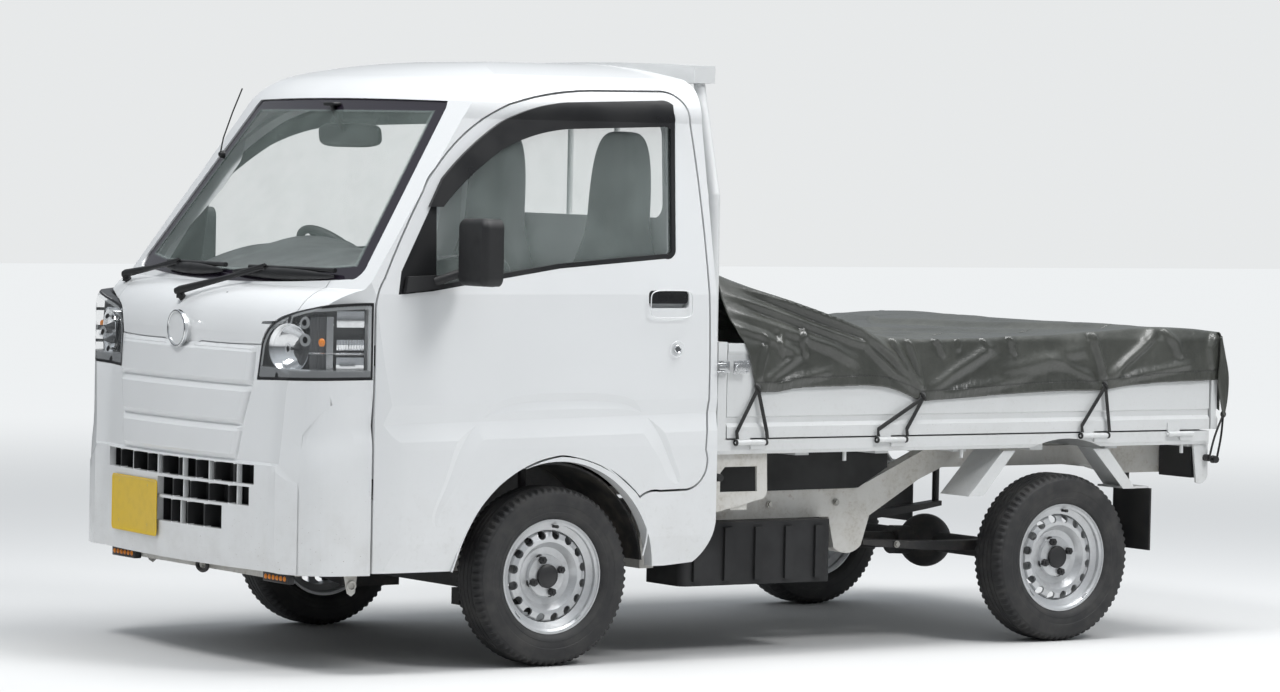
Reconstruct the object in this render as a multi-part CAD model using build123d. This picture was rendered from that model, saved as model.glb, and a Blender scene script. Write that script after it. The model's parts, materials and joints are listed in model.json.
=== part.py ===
from build123d import *
import functools
import math
import os

# Small cab-over truck with drop sides, a tarpaulin over its bed and right-hand drive.
# Millimetres. Modelled with X forward from the front axle, Y to the left and Z up from the ground,
# then moved so that the origin lies under the middle of the whole length.

# Whole vehicle
NOSE_X = 875.0
TAIL_X = -2512.0
HALF_WIDTH = 737.5
WHEELBASE = 1900.0
HALF_TRACK = 652.0

# Cab
CAB_BASE_Z = 285.0
CAB_REAR_X = -557.0
WALL = 45.0
DOOR_WALL = 48.0
NOSE_CENTRE_X = -2400.0
CORNER_RADIUS = 330.6
CORNER_X = 513.3
SKIN_MARGIN = 0.01
BELT_Z = 1098.0
SCREEN_TOP_Z = 1640.0
SCREEN_BASE_X = 731.0
SLAT_BASE = ((867.0, 596.0), (857.0, 800.0), (844.0, 960.0))
PAD = 3.5
SCREEN_TOP_X = 343.0
ROOF_Z = 1768.0
BELT_HALF = 720.0
TUCK = 28.0
TUCK_Z = 372.0
CANT_HALF = 652.0
CANT_Z = 1590.0
GLASS = 5.0
GLASS_INSET = 5.0

# Doors
DOOR_FRONT_X = 616.0
DOOR_GAP = 6.5
SEAM = 3.0
SEAM_DEPTH = 10.0
DOOR_FLANGE = 14.0
DOOR_STEP = 15.0
HINGE_X = 558.0
HINGE_Y = 708.0
HINGE_PIN = 5.0
HINGE_EYE = 9.0
PIN_FIT = 0.05
HINGE_CLEAR = 5.0
ARCH_TOP_Z = 620.0
SEAT_FIT = 0.3
SEAL_INSET = 2.0
VISOR_STAND = 12.0
VISOR_THICK = 3.0
VISOR_DEPTH = 78.0

# Wheels
TYRE_RADIUS = 262.0
TYRE_HALF = 72.5
RIM_RADIUS = 168.0
RIM_WALL = 4.0
RIM_HOLES = 16
RIM_HOLE_RADIUS = 13.0
RIM_HOLE_CIRCLE = 122.0
NUT_CIRCLE = 50.0
SPINDLE = 15.0
KINGPIN_Y = 600.0
KINGPIN = 10.0

# Bed
BED_FRONT_X = -563.0
DECK_Z = 657.0
RAIL_BOTTOM_Z = 609.0
RAIL_Y = 721.0
GATE_TOP_Z = 940.0
GATE_OUT_Y = 722.0
GATE_WALL = 28.0
GATE_GAP = 5.0
GATE_HINGE_Y = 729.5
GATE_HINGE_Z = 644.0
KNUCKLE = 8.0
GATE_PIN = 3.5
HEADBOARD_REAR_X = -597.0
TAILGATE_X = -2484.0
TAIL_HINGE_X = TAIL_X - 7.5

# Tarpaulin
TARP = 4.0
TARP_STAND = 0.3
TARP_SPLIT_Z = 946.0
TARP_TOP_Z = 960.0

# Frame
RAIL_WIDTH = 50.0
FRONT_RAIL_Y = 370.0
FRAME_TIP_X = 778.0
REAR_RAIL_Y = 500.0
FLOOR_Z = 320.0
PLATFORM_Z = 600.0
FLOOR_SHEET = 6.0
TOE_X = 744.0

SIDE = Plane.XZ
FRONT = Plane.YZ
FAR = 2000.0


def outline(start, *steps):
    """Closed face from a start point and steps: a point for a line, (through, end) for an arc."""
    edges = []
    here = start
    for step in steps:
        if isinstance(step[0], tuple):
            edges.append(ThreePointArc(here, step[0], step[1]))
            here = step[1]
        else:
            edges.append(Line(here, step))
            here = step
    if here != start:
        edges.append(Line(here, start))
    return make_face(edges)


def grown(face, amount):
    """The face with its outline moved outward, or inward where the amount is negative."""
    if amount == 0:
        return face
    return offset(face, amount, kind=Kind.ARC)


def across(face, y_from=-FAR, y_to=FAR):
    """Side-view face (x, z) run along Y."""
    return extrude(SIDE.offset(-y_from) * face, y_to - y_from, dir=(0, 1, 0))


def along(face, x_from=-FAR, x_to=FAR):
    """Front-view face (y, z) run along X."""
    return extrude(FRONT.offset(x_from) * face, x_to - x_from, dir=(1, 0, 0))


def upward(face, z_from, z_to):
    """Plan face (x, y) run along Z."""
    return extrude(Plane.XY.offset(z_from) * face, z_to - z_from)


def block(x, y, z):
    """Box from three (low, high) pairs."""
    size = [high - low for low, high in (x, y, z)]
    middle = [(high + low) / 2 for low, high in (x, y, z)]
    return Pos(*middle) * Box(*size)


def rod(start, end, radius):
    """Round bar between two points."""
    run = Vector(*end) - Vector(*start)
    plane = Plane(origin=start, z_dir=run)
    return plane * Cylinder(radius, run.length, align=(Align.CENTER, Align.CENTER, Align.MIN))


def lathe_y(profile, centre=(0, 0, 0)):
    """Closed (radius, offset) profile turned about the Y axis through a centre."""
    face = make_face(Polyline(*profile, close=True))
    return Pos(*centre) * revolve(Plane(origin=(0, 0, 0), x_dir=(1, 0, 0), z_dir=(0, 0, 1)) * face, Axis.Y)


def mirrored(part):
    """The same piece on the other side of the vehicle."""
    return mirror(part, about=Plane.XZ)


def both(part):
    """A piece and its twin on the other side, as separate solids."""
    return [part, mirrored(part)]


def solids(*parts):
    """One compound of separate solids."""
    found = []
    for part in parts:
        if isinstance(part, (list, tuple)):
            found.extend(solids(*part).solids())
        else:
            found.extend(part.solids())
    return Compound(children=found)


# Cab form: the side view turned about a far upright axis gives the bowed nose and windscreen,
# then the plan and the front view trim its sides and its roof.

def nose_profile(inset):
    """Side view of the cab's middle, open behind and below."""
    face = outline(
        (-760.0, 100.0),
        (855.0, 100.0),
        (862.0, 275.0),
        (NOSE_X - PAD, 335.0),
        (NOSE_X - PAD, 588.0),
        SLAT_BASE[0],
        SLAT_BASE[1],
        SLAT_BASE[2],
        ((820.0, 1030.0), (SCREEN_BASE_X, BELT_Z)),
        (SCREEN_TOP_X, SCREEN_TOP_Z),
        ((295.0, 1682.0), (225.0, 1715.0)),
        ((60.0, 1752.0), (-150.0, 1764.0)),
        (-440.0, ROOF_Z),
        (-760.0, ROOF_Z),
    )
    return grown(face, -inset)


def front_profile(inset):
    """Front view: upright sides, leaning windows and a low crown."""
    face = outline(
        (TUCK - HALF_WIDTH, 100.0),
        (HALF_WIDTH - TUCK, 100.0),
        (HALF_WIDTH, TUCK_Z),
        (HALF_WIDTH, 640.0),
        (732.0, 800.0),
        (BELT_HALF, 1085.0),
        (CANT_HALF, CANT_Z),
        ((632.0, 1672.0), (575.0, 1720.0)),
        ((0.0, ROOF_Z + 2.0), (-575.0, 1720.0)),
        ((-632.0, 1672.0), (-CANT_HALF, CANT_Z)),
        (-BELT_HALF, 1085.0),
        (-732.0, 800.0),
        (-HALF_WIDTH, 640.0),
        (-HALF_WIDTH, TUCK_Z),
    )
    return grown(face, -inset)


@functools.lru_cache(maxsize=None)
def cab_form(inset=0.0):
    """Whole cab volume, set in by a wall."""
    axis = Axis((NOSE_CENTRE_X, 0, 0), (0, 0, 1))
    swing = 28.0
    section = (SIDE * nose_profile(inset)).rotate(axis, -swing)
    nose = revolve(section, axis, revolution_arc=2 * swing)
    corner_x = CORNER_X
    side_y = HALF_WIDTH - inset + SKIN_MARGIN
    radius = CORNER_RADIUS - inset
    turn = math.radians(52.0)
    tip = (corner_x + radius * math.sin(turn), side_y - radius + radius * math.cos(turn))
    half = math.radians(26.0)
    mid = (corner_x + radius * math.sin(half), side_y - radius + radius * math.cos(half))
    plan = outline(
        (-760.0, side_y),
        (corner_x, side_y),
        (mid, tip),
        (tip[0] + 400.0, tip[1] - 400.0 * math.tan(turn)),
        (tip[0] + 400.0, -tip[1] + 400.0 * math.tan(turn)),
        (tip[0], -tip[1]),
        ((mid[0], -mid[1]), (corner_x, -side_y)),
        (-760.0, -side_y),
    )
    rear = outline(
        (CAB_REAR_X + inset, 0.0),
        (900.0, 0.0),
        (900.0, 1900.0),
        (-490.0 + inset, 1900.0),
        (-505.0 + inset, 1752.0),
        (-532.0 + inset, 1690.0),
        (CAB_REAR_X + inset, 1050.0),
    )
    base = 0.0 if inset else CAB_BASE_Z
    prism = along(front_profile(inset)) & upward(plan, base, 1900.0) & across(rear)
    return prism & nose


CAB = cab_form()
CAB_INNER = cab_form(WALL)
SHELL = CAB - CAB_INNER

WHEEL_ARCH = ((-150.0, 588.0), (-10.0, ARCH_TOP_Z))


def door_face(gap=0.0):
    """Door's cut line in side view."""
    face = outline(
        (358.0, 291.0),
        (DOOR_FRONT_X, 291.0),
        (DOOR_FRONT_X, 1041.0),
        ((606.0, 1092.0), (585.0, 1128.0)),
        ((513.0, 1262.0), (421.0, 1411.0)),
        ((330.0, 1513.0), (133.0, 1632.0)),
        ((-15.0, 1664.0), (-186.0, 1677.0)),
        (-400.0, 1680.0),
        ((-462.0, 1658.0), (-490.0, 1595.0)),
        ((-524.0, 1188.0), (-524.0, 773.0)),
        (-513.0, 625.0),
        ((-500.0, 540.0), (-452.0, 512.0)),
        (-355.0, 510.0),
        ((-312.0, 508.0), (-284.0, 494.0)),
        WHEEL_ARCH,
        ((255.0, 487.0), (358.0, 291.0)),
    )
    return grown(face, gap)


def window_face(inset=0.0):
    """Door window with its seal in side view."""
    face = outline(
        (545.0, 1084.0),
        (532.0, 1150.0),
        (377.0, 1412.0),
        ((281.0, 1499.0), (174.0, 1573.0)),
        ((60.0, 1616.0), (-60.0, 1636.0)),
        (-380.0, 1648.0),
        ((-424.0, 1636.0), (-440.0, 1592.0)),
        (-418.0, 1215.0),
        ((-408.0, 1196.0), (-380.0, 1190.0)),
        (-7.0, 1160.0),
        (430.0, 1094.0),
    )
    return grown(face, -inset)


def screen_face(inset=0.0):
    """Windscreen in front view."""
    face = outline(
        (-560.0, SCREEN_TOP_Z - 20.0),
        (-548.0, SCREEN_TOP_Z),
        ((0.0, SCREEN_TOP_Z + 6.0), (548.0, SCREEN_TOP_Z)),
        (560.0, SCREEN_TOP_Z - 20.0),
        (655.0, 1168.0),
        ((650.0, 1134.0), (620.0, 1124.0)),
        ((0.0, BELT_Z + 4.0), (-620.0, 1124.0)),
        ((-650.0, 1134.0), (-655.0, 1168.0)),
    )
    return grown(face, -inset)


def lamp_face(inset=0.0):
    """Left headlamp in front view, running round the corner."""
    face = outline(
        (412.0, 829.0),
        (760.0, 843.0),
        (760.0, 1064.0),
        (717.0, 1061.0),
        ((610.0, 1045.0), (505.0, 1016.0)),
        ((450.0, 985.0), (420.0, 930.0)),
    )
    return grown(face, -inset)


def sided(face_maker, gap, y_from, y_to):
    """A side-view prism on both sides of the cab."""
    left = across(face_maker(gap), y_from, y_to)
    return left + mirrored(left)


SCRAP = 3.0e5
FRONT_X = DOOR_FRONT_X + DOOR_GAP
DOOR_HOLES = sided(door_face, DOOR_GAP, 520.0, 800.0)
LAMP_X = FRONT_X + 2.0
LAMP_HOLE = along(lamp_face(), LAMP_X, 1000.0)
LAMP_HOLES = LAMP_HOLE + mirrored(LAMP_HOLE)
SCREEN_HOLE = along(screen_face(), 150.0, 1000.0)



def flank_y(z):
    """Half width of the cab's flank at a height, below the belt."""
    return HALF_WIDTH - max(0.0, z - 640.0) * (HALF_WIDTH - 732.0) / 160.0


def notch(valley, low, high, turn=0.0):
    """Triangle that cuts a V into a flank: its floor point and the two lips, each (x, z), across the flank.

    The lips lie on the flank, and the triangle runs on past them to twice their distance.
    """
    (floor_x, floor_z), depth = valley
    radial = (math.sin(math.radians(turn)), math.cos(math.radians(turn)))
    base = CORNER_RADIUS if turn else 0.0
    centre_x = CORNER_X if turn else 0.0

    def place(x, z, out):
        if not turn:
            return (x, flank_y(z) + out, z)
        reach = base + out - (HALF_WIDTH - flank_y(z))
        return (centre_x + reach * radial[0], HALF_WIDTH - base + reach * radial[1], z)

    floor = Vector(*place(floor_x, floor_z, -depth))
    lips = [Vector(*place(x, z, 0.0)) for x, z in (low, high)]
    ends = [floor + (lip - floor) * 2.0 for lip in lips]
    return make_face(Polyline(floor, ends[0], ends[1], close=True))


def belt_groove():
    """Straight V-groove along the flank that rises a little to the rear and fades round the front corner."""
    x_front = FRONT_X - 5.0
    front = notch(((x_front, 713.0), GROOVE), (x_front, 661.0), (x_front, 768.0))
    rear = notch(((-562.0, 736.0), GROOVE), (-562.0, 682.0), (-562.0, 778.0))
    groove = loft([front, rear], ruled=True)
    # columns: turn round the corner in degrees, depth, low z, floor z, high z
    corner = ((18.4, GROOVE, 661.0, 713.0, 768.0), (30.0, 6.0, 658.0, 702.0, 752.0),
              (42.0, 4.0, 652.0, 685.0, 722.0), (52.0, 1.5, 645.0, 664.0, 684.0))
    rings = []
    for near, far in zip(corner, corner[1:]):
        for step in range(5):
            turn, depth, low, floor, high = [a + (b - a) * step / 5.0 for a, b in zip(near, far)]
            rings.append(notch(((0.0, floor), depth), (0.0, low), (0.0, high), turn))
    turn, depth, low, floor, high = corner[-1]
    rings.append(notch(((0.0, floor), depth), (0.0, low), (0.0, high), turn))
    return groove + loft(rings, ruled=True)


def arch_groove():
    """V-groove round the wheel arch, steep inside and shallow outside."""
    faces = []
    for index, (x, z, depth, inner, outer) in enumerate(ARCH_GROOVE):
        before = ARCH_GROOVE[max(index - 1, 0)]
        after = ARCH_GROOVE[min(index + 1, len(ARCH_GROOVE) - 1)]
        run = math.hypot(after[0] - before[0], after[1] - before[1])
        away = (-(before[1] - after[1]) / run, (before[0] - after[0]) / run)
        low = (x - away[0] * inner, z - away[1] * inner)
        high = (x + away[0] * outer, z + away[1] * outer)
        faces.append(notch(((x, z), depth), low, high))
    return loft(faces)


# columns: floor x, floor z, depth, inner width, outer width
ARCH_GROOVE = (
    (419.0, 424.0, 0.6, 6.0, 4.0),
    (393.0, 512.0, 2.5, 22.0, 12.0),
    (352.0, 606.0, 4.0, 36.0, 18.0),
    (303.0, 690.0, 5.5, 46.0, 21.0),
    (245.0, 738.0, 6.0, 48.0, 22.0),
    (170.0, 764.0, 6.0, 50.0, 22.0),
    (60.0, 775.0, 6.0, 52.0, 22.0),
    (-60.0, 777.0, 6.0, 54.0, 22.0),
    (-175.0, 772.0, 6.0, 52.0, 21.0),
    (-253.0, 757.0, 6.0, 50.0, 20.0),
    (-316.0, 717.0, 6.0, 46.0, 20.0),
    (-360.0, 656.0, 5.5, 40.0, 18.0),
    (-395.0, 584.0, 4.5, 30.0, 14.0),
    (-418.0, 530.0, 1.5, 10.0, 6.0),
)
GROOVE = 7.0


def nose_x(z):
    """Reach of the nose on the middle line at a height between the grille and the emblem."""
    low, middle, high = SLAT_BASE
    below, above = (low, middle) if z < middle[1] else (middle, high)
    return below[0] + (above[0] - below[0]) * (z - below[1]) / (above[1] - below[1])


def slat(top, face_low, foot, top_half, foot_half):
    """One bowed slat: a face that stands off the nose, a short slope over it and a long one under it."""
    face = outline((nose_x(top) - SLAT_ROOT, top), (nose_x(top), top), (nose_x(top) + SLAT, top - SLAT_LIP),
                   (nose_x(face_low) + SLAT, face_low), (nose_x(foot), foot), (nose_x(foot) - SLAT_ROOT, foot))
    axis = Axis((NOSE_CENTRE_X, 0, 0), (0, 0, 1))
    swing = 9.0
    bowed = revolve((SIDE * face).rotate(axis, -swing), axis, revolution_arc=2 * swing)
    ends = []
    for z, half in ((foot, foot_half), (top, top_half)):
        edge_x = NOSE_CENTRE_X + math.sqrt((nose_x(z) - NOSE_CENTRE_X) ** 2 - half ** 2)
        lean = SLAT_END / SLAT
        rear = (edge_x - 40.0, half + 40.0 * lean)
        ahead = (edge_x + 60.0, half - 60.0 * lean)
        ends.append(Plane.XY.offset(z) * make_face(Polyline(
            rear, ahead, (ahead[0], -ahead[1]), (rear[0], -rear[1]), close=True)))
    return bowed & loft(ends, ruled=True)


# columns: top z, face's low z, foot z, half width at the top, half width at the foot
SLATS = (
    (925.0, 827.0, 811.0, 404.0, 402.0),
    (811.0, 712.0, 696.0, 399.0, 364.0),
    (696.0, 612.0, 596.0, 369.0, 346.0),
)
SLAT = 9.0
SLAT_LIP = 8.0
SLAT_END = 17.0
SLAT_ROOT = 8.0


def grille_pad():
    """Raised field round the lower grille, with sloping sides."""
    # columns: x of the plane, half width at the top, at the knee and at the foot
    rows = ((780.0, 586.0, 632.0, 688.0), (900.0, 470.0, 516.0, 572.0))
    faces = []
    for x, top_half, knee_half, foot_half in rows:
        faces.append(FRONT.offset(x) * make_face(Polyline(
            (-top_half, 592.0), (top_half, 592.0), (knee_half, 465.0), (foot_half, 250.0),
            (-foot_half, 250.0), (-knee_half, 465.0), close=True)))
    return cab_form(-PAD) & loft(faces, ruled=True) & block((600.0, 900.0), (-700.0, 700.0), (CAB_BASE_Z, 592.0))


HOOD_FACE = outline(
    (-420.0, 930.0),
    ((-250.0, 926.0), (-110.0, 927.0)),
    ((0.0, 900.0), (110.0, 927.0)),
    ((250.0, 926.0), (420.0, 930.0)),
    ((450.0, 985.0), (505.0, 1016.0)),
    (546.0, 1029.0),
    (548.0, 1140.0),
    (-548.0, 1140.0),
    (-546.0, 1029.0),
    (-505.0, 1016.0),
    ((-450.0, 985.0), (-420.0, 930.0)),
)
BUMPER_FACE = outline(
    (-760.0, 0.0),
    (760.0, 0.0),
    (760.0, 843.0),
    (412.0, 829.0),
    (420.0, 930.0),
    ((250.0, 926.0), (110.0, 927.0)),
    ((0.0, 900.0), (-110.0, 927.0)),
    ((-250.0, 926.0), (-420.0, 930.0)),
    (-412.0, 829.0),
    (-760.0, 843.0),
)
ROOF_FACE = outline(
    (-548.0, SCREEN_TOP_Z - 12.0),
    (548.0, SCREEN_TOP_Z - 12.0),
    (558.0, 1900.0),
    (-558.0, 1900.0),
)
REAR_HALF = 600.0
HOOD_ZONE = along(HOOD_FACE, FRONT_X, 1000.0)
BUMPER_ZONE = along(BUMPER_FACE, FRONT_X, 1000.0)
ROOF_ZONE = along(ROOF_FACE)
REAR_ZONE = block((-800.0, CAB_REAR_X + WALL + 60.0), (-REAR_HALF, REAR_HALF), (PLATFORM_Z, 1700.0))


def grille_holes():
    """Openings of the lower grille: rows of cells between upright bars, cut back under the plate."""
    bar = 7.0
    # columns: bottom z, top z, right end y, left end y, cells
    rows = (
        (530.0, 586.0, -452.0, 440.0, 9),
        (468.0, 522.0, -92.0, 418.0, 5),
        (392.0, 460.0, -92.0, 285.0, 4),
    )
    holes = []
    for low, high, right, left, cells in rows:
        pitch = (left - right) / cells
        for cell in range(cells):
            y = right + pitch * cell
            holes.append(block((700.0, 900.0), (y + bar / 2, y + pitch - bar / 2), (low, high)))
    return holes


def front_bumper():
    """Bumper with the lower grille and the stacked slats."""
    body = (SHELL & BUMPER_ZONE) - block((500.0, FRONT_X + 70.0), (-660.0, 660.0), (0.0, 900.0))
    body = body + (grille_pad() - cab_form(SLAT_ROOT))
    for row in SLATS:
        body = body + (slat(*row) & BUMPER_ZONE)
    for hole in grille_holes():
        body = body - hole
    groove = belt_groove()
    return body - groove - mirrored(groove)


def headlamps():
    """Lamp blocks that fill their openings less a seam."""
    lamp = SHELL & along(lamp_face(2.0), LAMP_X, 1000.0)
    return both(lamp)


def windscreen():
    """Laminated pane a little under the skin."""
    pane = cab_form(GLASS_INSET) - cab_form(GLASS_INSET + GLASS)
    return pane & along(screen_face(1.0), 150.0, 1000.0)


def hood_panel():
    """Panel between windscreen and slats with the bare round boss."""
    panel = (SHELL & HOOD_ZONE) - SCREEN_HOLE - LAMP_HOLES
    seam = along(HOOD_FACE, FRONT_X, 1000.0) - along(grown(HOOD_FACE, -SEAM), FRONT_X, 1000.0)
    panel = panel - (seam - cab_form(SEAM_DEPTH))
    boss = rod((842.0, 0.0, 958.0), (857.0, 0.0, 956.0), 44.0)
    return panel + boss


def cab_roof():
    """Roof skin with its front header."""
    return (SHELL & ROOF_ZONE) - SCREEN_HOLE - DOOR_HOLES


def rear_window_face(inset=0.0):
    face = Pos(0, 1452.0) * RectangleRounded(1010.0 - 2 * inset, 290.0 - 2 * inset, 45.0 - inset)
    return face


def cab_rear_wall():
    """Rear wall with its window."""
    wall = (SHELL & REAR_ZONE) - ROOF_ZONE - DOOR_HOLES
    return wall - along(rear_window_face(), -700.0, -400.0)


def rear_window():
    """Fixed pane in the rear wall."""
    return (cab_form(GLASS_INSET) - cab_form(GLASS_INSET + GLASS)) & along(rear_window_face(1.0), -700.0, -400.0)


def cab_sides():
    """Door frames: front pillar, cant rail, rear pillar and the sill behind the wheel."""
    sill_cut = outline((-900.0, 0.0), (0.0, 0.0), (0.0, 278.0), (-290.0, 278.0), (-480.0, 293.0),
                       ((-535.0, 350.0), (CAB_REAR_X, 461.0)), (-900.0, 461.0))
    frame = SHELL - ROOF_ZONE - REAR_ZONE - HOOD_ZONE - BUMPER_ZONE - LAMP_HOLES - SCREEN_HOLE
    frame = frame - DOOR_HOLES - across(sill_cut)
    frame = frame - block((-600.0, 900.0), (-REAR_HALF + 200.0, REAR_HALF - 200.0), (0.0, 1000.0))
    frame = frame - block((-600.0, 300.0), (-688.0, 688.0), (0.0, PLATFORM_Z))
    frame = frame - block((FRONT_X - 200.0, FRONT_X), (-800.0, 800.0), (0.0, 1030.0))
    wheel = Pos(0, 0, TYRE_RADIUS) * Rot(90, 0, 0) * Cylinder(338.0, 1600.0)
    frame = frame - (wheel & block((-400.0, 400.0), (-800.0, 800.0), (0.0, 620.0)))
    for groove in (belt_groove(), arch_groove()):
        frame = frame - groove - mirrored(groove)
    return solids([solid for solid in frame.solids() if solid.volume > SCRAP])


def door_left():
    """Door shell with window opening, handle recess and hinge pockets with their pins."""
    skin = (CAB - cab_form(DOOR_FLANGE)) & across(door_face(), 520.0, 800.0)
    core = (cab_form(DOOR_FLANGE) - cab_form(DOOR_WALL)) & across(door_face(-DOOR_STEP), 520.0, 800.0)
    door = skin + core - belt_groove() - arch_groove()
    door = door - across(window_face(), 520.0, 800.0)
    hand = Pos(-385.0, 1071.0) * RectangleRounded(144.0, 52.0, 14.0)
    door = door - (across(hand, 520.0, 800.0) - cab_form(26.0))
    for low in HINGE_LEVELS:
        high = low + HINGE_HEIGHT
        room = HINGE_EYE + HINGE_CLEAR
        pocket = block((HINGE_X - room, DOOR_FRONT_X + 10.0), (620.0, HINGE_Y + room), (low, high))
        pocket = pocket + Pos(HINGE_X, HINGE_Y, (low + high) / 2) * Cylinder(room, HINGE_HEIGHT)
        pin = rod((HINGE_X, HINGE_Y, low - 10.0), (HINGE_X, HINGE_Y, high + 10.0), HINGE_PIN)
        door = (door - (pocket & cab_form(HINGE_SKIN))) + pin
    return door


HINGE_LEVELS = (500.0, 880.0)
HINGE_HEIGHT = 60.0
HINGE_SKIN = 5.0


def window_pane():
    """Door glass inside its seal."""
    pane = cab_form(12.0) - cab_form(12.0 + GLASS)
    return pane & across(window_face(14.4), 520.0, 800.0)


def door_trim():
    """Black seal round the window, wind visor over it and the handle flap."""
    ring = across(window_face(0.3), 520.0, 800.0) - across(window_face(14.0), 520.0, 800.0)
    seal = (cab_form(SEAL_INSET) - cab_form(20.0)) & ring
    band = across(window_face(-8.0), 520.0, 800.0) - Pos(0, 0, -VISOR_DEPTH) * across(window_face(-8.0), 520.0, 800.0)
    band = band & block((-427.0, 470.0), (500.0, 800.0), (1335.0, 1700.0))
    cover = (cab_form(-VISOR_STAND) - cab_form(VISOR_THICK - VISOR_STAND)) & band
    rim = across(window_face(-8.0), 520.0, 800.0) - across(window_face(-4.0), 520.0, 800.0)
    foot = (cab_form(-VISOR_STAND) - cab_form(-0.3)) & rim & band
    flap = Pos(-385.0, 1077.0) * RectangleRounded(143.4, 38.0, 12.0)
    handle = (cab_form(6.0) - cab_form(18.0)) & across(flap, 520.0, 800.0)
    return seal, cover + foot, handle


def mirror_left():
    """Door mirror: foot on the quarter panel, arm and deep head."""
    foot = (cab_form(-14.0) - cab_form(SEAL_INSET - SEAT_FIT)) & across(
        outline((528.0, 1090.0), (400.0, 1104.0), (400.0, 1140.0), (516.0, 1136.0)), 520.0, 800.0)
    arm = rod((425.0, 722.0, 1122.0), (365.0, 775.0, 1150.0), 13.0)
    head = block((319.0, 383.0), (765.0, 918.0), (1113.0, 1305.0))
    head = fillet(head.edges().filter_by(Axis.X), 28.0)
    head = fillet(head.faces().sort_by(Axis.X)[-1].edges(), 18.0)
    return foot + (arm - cab_form(-0.3)) + head


def tyre(centre):
    """Tyre carcass with a hollow inside."""
    # columns: radius, offset from the wheel's middle plane
    outer = ((158.4, 40.0), (158.4, 49.6), (168.6, 53.6), (171.0, 60.5), (196.0, 70.5), (215.0, TYRE_HALF),
             (238.0, 68.0), (254.0, 59.0), (TYRE_RADIUS, 30.0))
    inner = ((TYRE_RADIUS - 14.0, 26.0), (215.0, TYRE_HALF - 8.0), (167.0, 40.0))
    profile = list(outer) + [(r, -w) for r, w in reversed(outer)]
    profile += [(r, -w) for r, w in reversed(inner)] + list(inner)
    return lathe_y(profile, centre)


def rim(centre, outward):
    """Pressed steel wheel: barrel, dished disc with round holes, drum and hub."""
    s = outward
    # columns: radius, offset outward
    barrel = ((RIM_RADIUS, 57.0), (RIM_RADIUS, 54.0), (164.4, 54.0), (158.0, 50.0), (158.0, 38.0), (139.0, 30.0),
              (139.0, -30.0), (158.0, -38.0), (158.0, -50.0), (164.4, -54.0), (RIM_RADIUS, -54.0),
              (RIM_RADIUS, -57.0))
    back = [(r - RIM_WALL, w) for r, w in reversed(barrel)]
    ring = lathe_y([(r, s * w) for r, w in barrel] + [(r, s * w) for r, w in back])
    front = ((136.0, 20.0), (128.0, 34.0), (112.0, 40.0), (100.0, 38.0), (84.0, 18.0), (64.0, 16.0), (60.0, 26.0),
             (34.0, 28.0), (32.0, 36.0), (0.0, 38.0))
    rear = ((0.0, 14.0), (30.0, 12.0), (84.0, 10.0), (98.0, 28.0), (112.0, 33.0), (124.0, 28.0), (136.0, 12.0))
    disc = lathe_y([(r, s * w) for r, w in front + rear])
    drum = lathe_y([(0.0, s * 15.0), (96.0, s * 8.0), (100.0, s * 2.0), (100.0, s * -26.0), (0.0, s * -26.0)])
    wheel = ring + disc + drum
    for index in range(RIM_HOLES):
        angle = 360.0 / RIM_HOLES * (index + 0.5)
        hole = Rot(0, angle, 0) * Pos(RIM_HOLE_CIRCLE, 0, 0) * Rot(90, 0, 0) * Cylinder(RIM_HOLE_RADIUS, 160.0)
        wheel = wheel - (hole & block((-400, 400), (0, 80) if s > 0 else (-80, 0), (-400, 400)))
    for index in range(4):
        nut = Rot(0, 90.0 * index + 20.0, 0) * Pos(NUT_CIRCLE, 0, 0) * Rot(90, 0, 0)
        wheel = wheel + nut * Pos(0, 0, -s * 30.0) * Cylinder(9.0, 16.0)
    bore = rod((0, s * -30.0, 0), (0, s * (SPINDLE_REACH + 1.0), 0), SPINDLE + PIN_FIT)
    return Pos(*centre) * (wheel - bore)


SPINDLE_REACH = 22.0


def wheel_centre(axle_x, side):
    return (axle_x, side * HALF_TRACK, TYRE_RADIUS)


def knuckle(side):
    """Steering knuckle: kingpin, sleeve, spindle and steering arm."""
    y = side * KINGPIN_Y
    pin = rod((0, y, 142.0), (0, y, 386.0), KINGPIN)
    sleeve = rod((0, y, 186.0), (0, y, 346.0), 16.0)
    spindle = rod((0, y, TYRE_RADIUS), (0, side * (HALF_TRACK + SPINDLE_REACH), TYRE_RADIUS), SPINDLE)
    arm = block((-104.0, -8.0), (y - 8.0, y + 8.0), (214.0, 232.0))
    return pin + sleeve + spindle + arm


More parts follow.
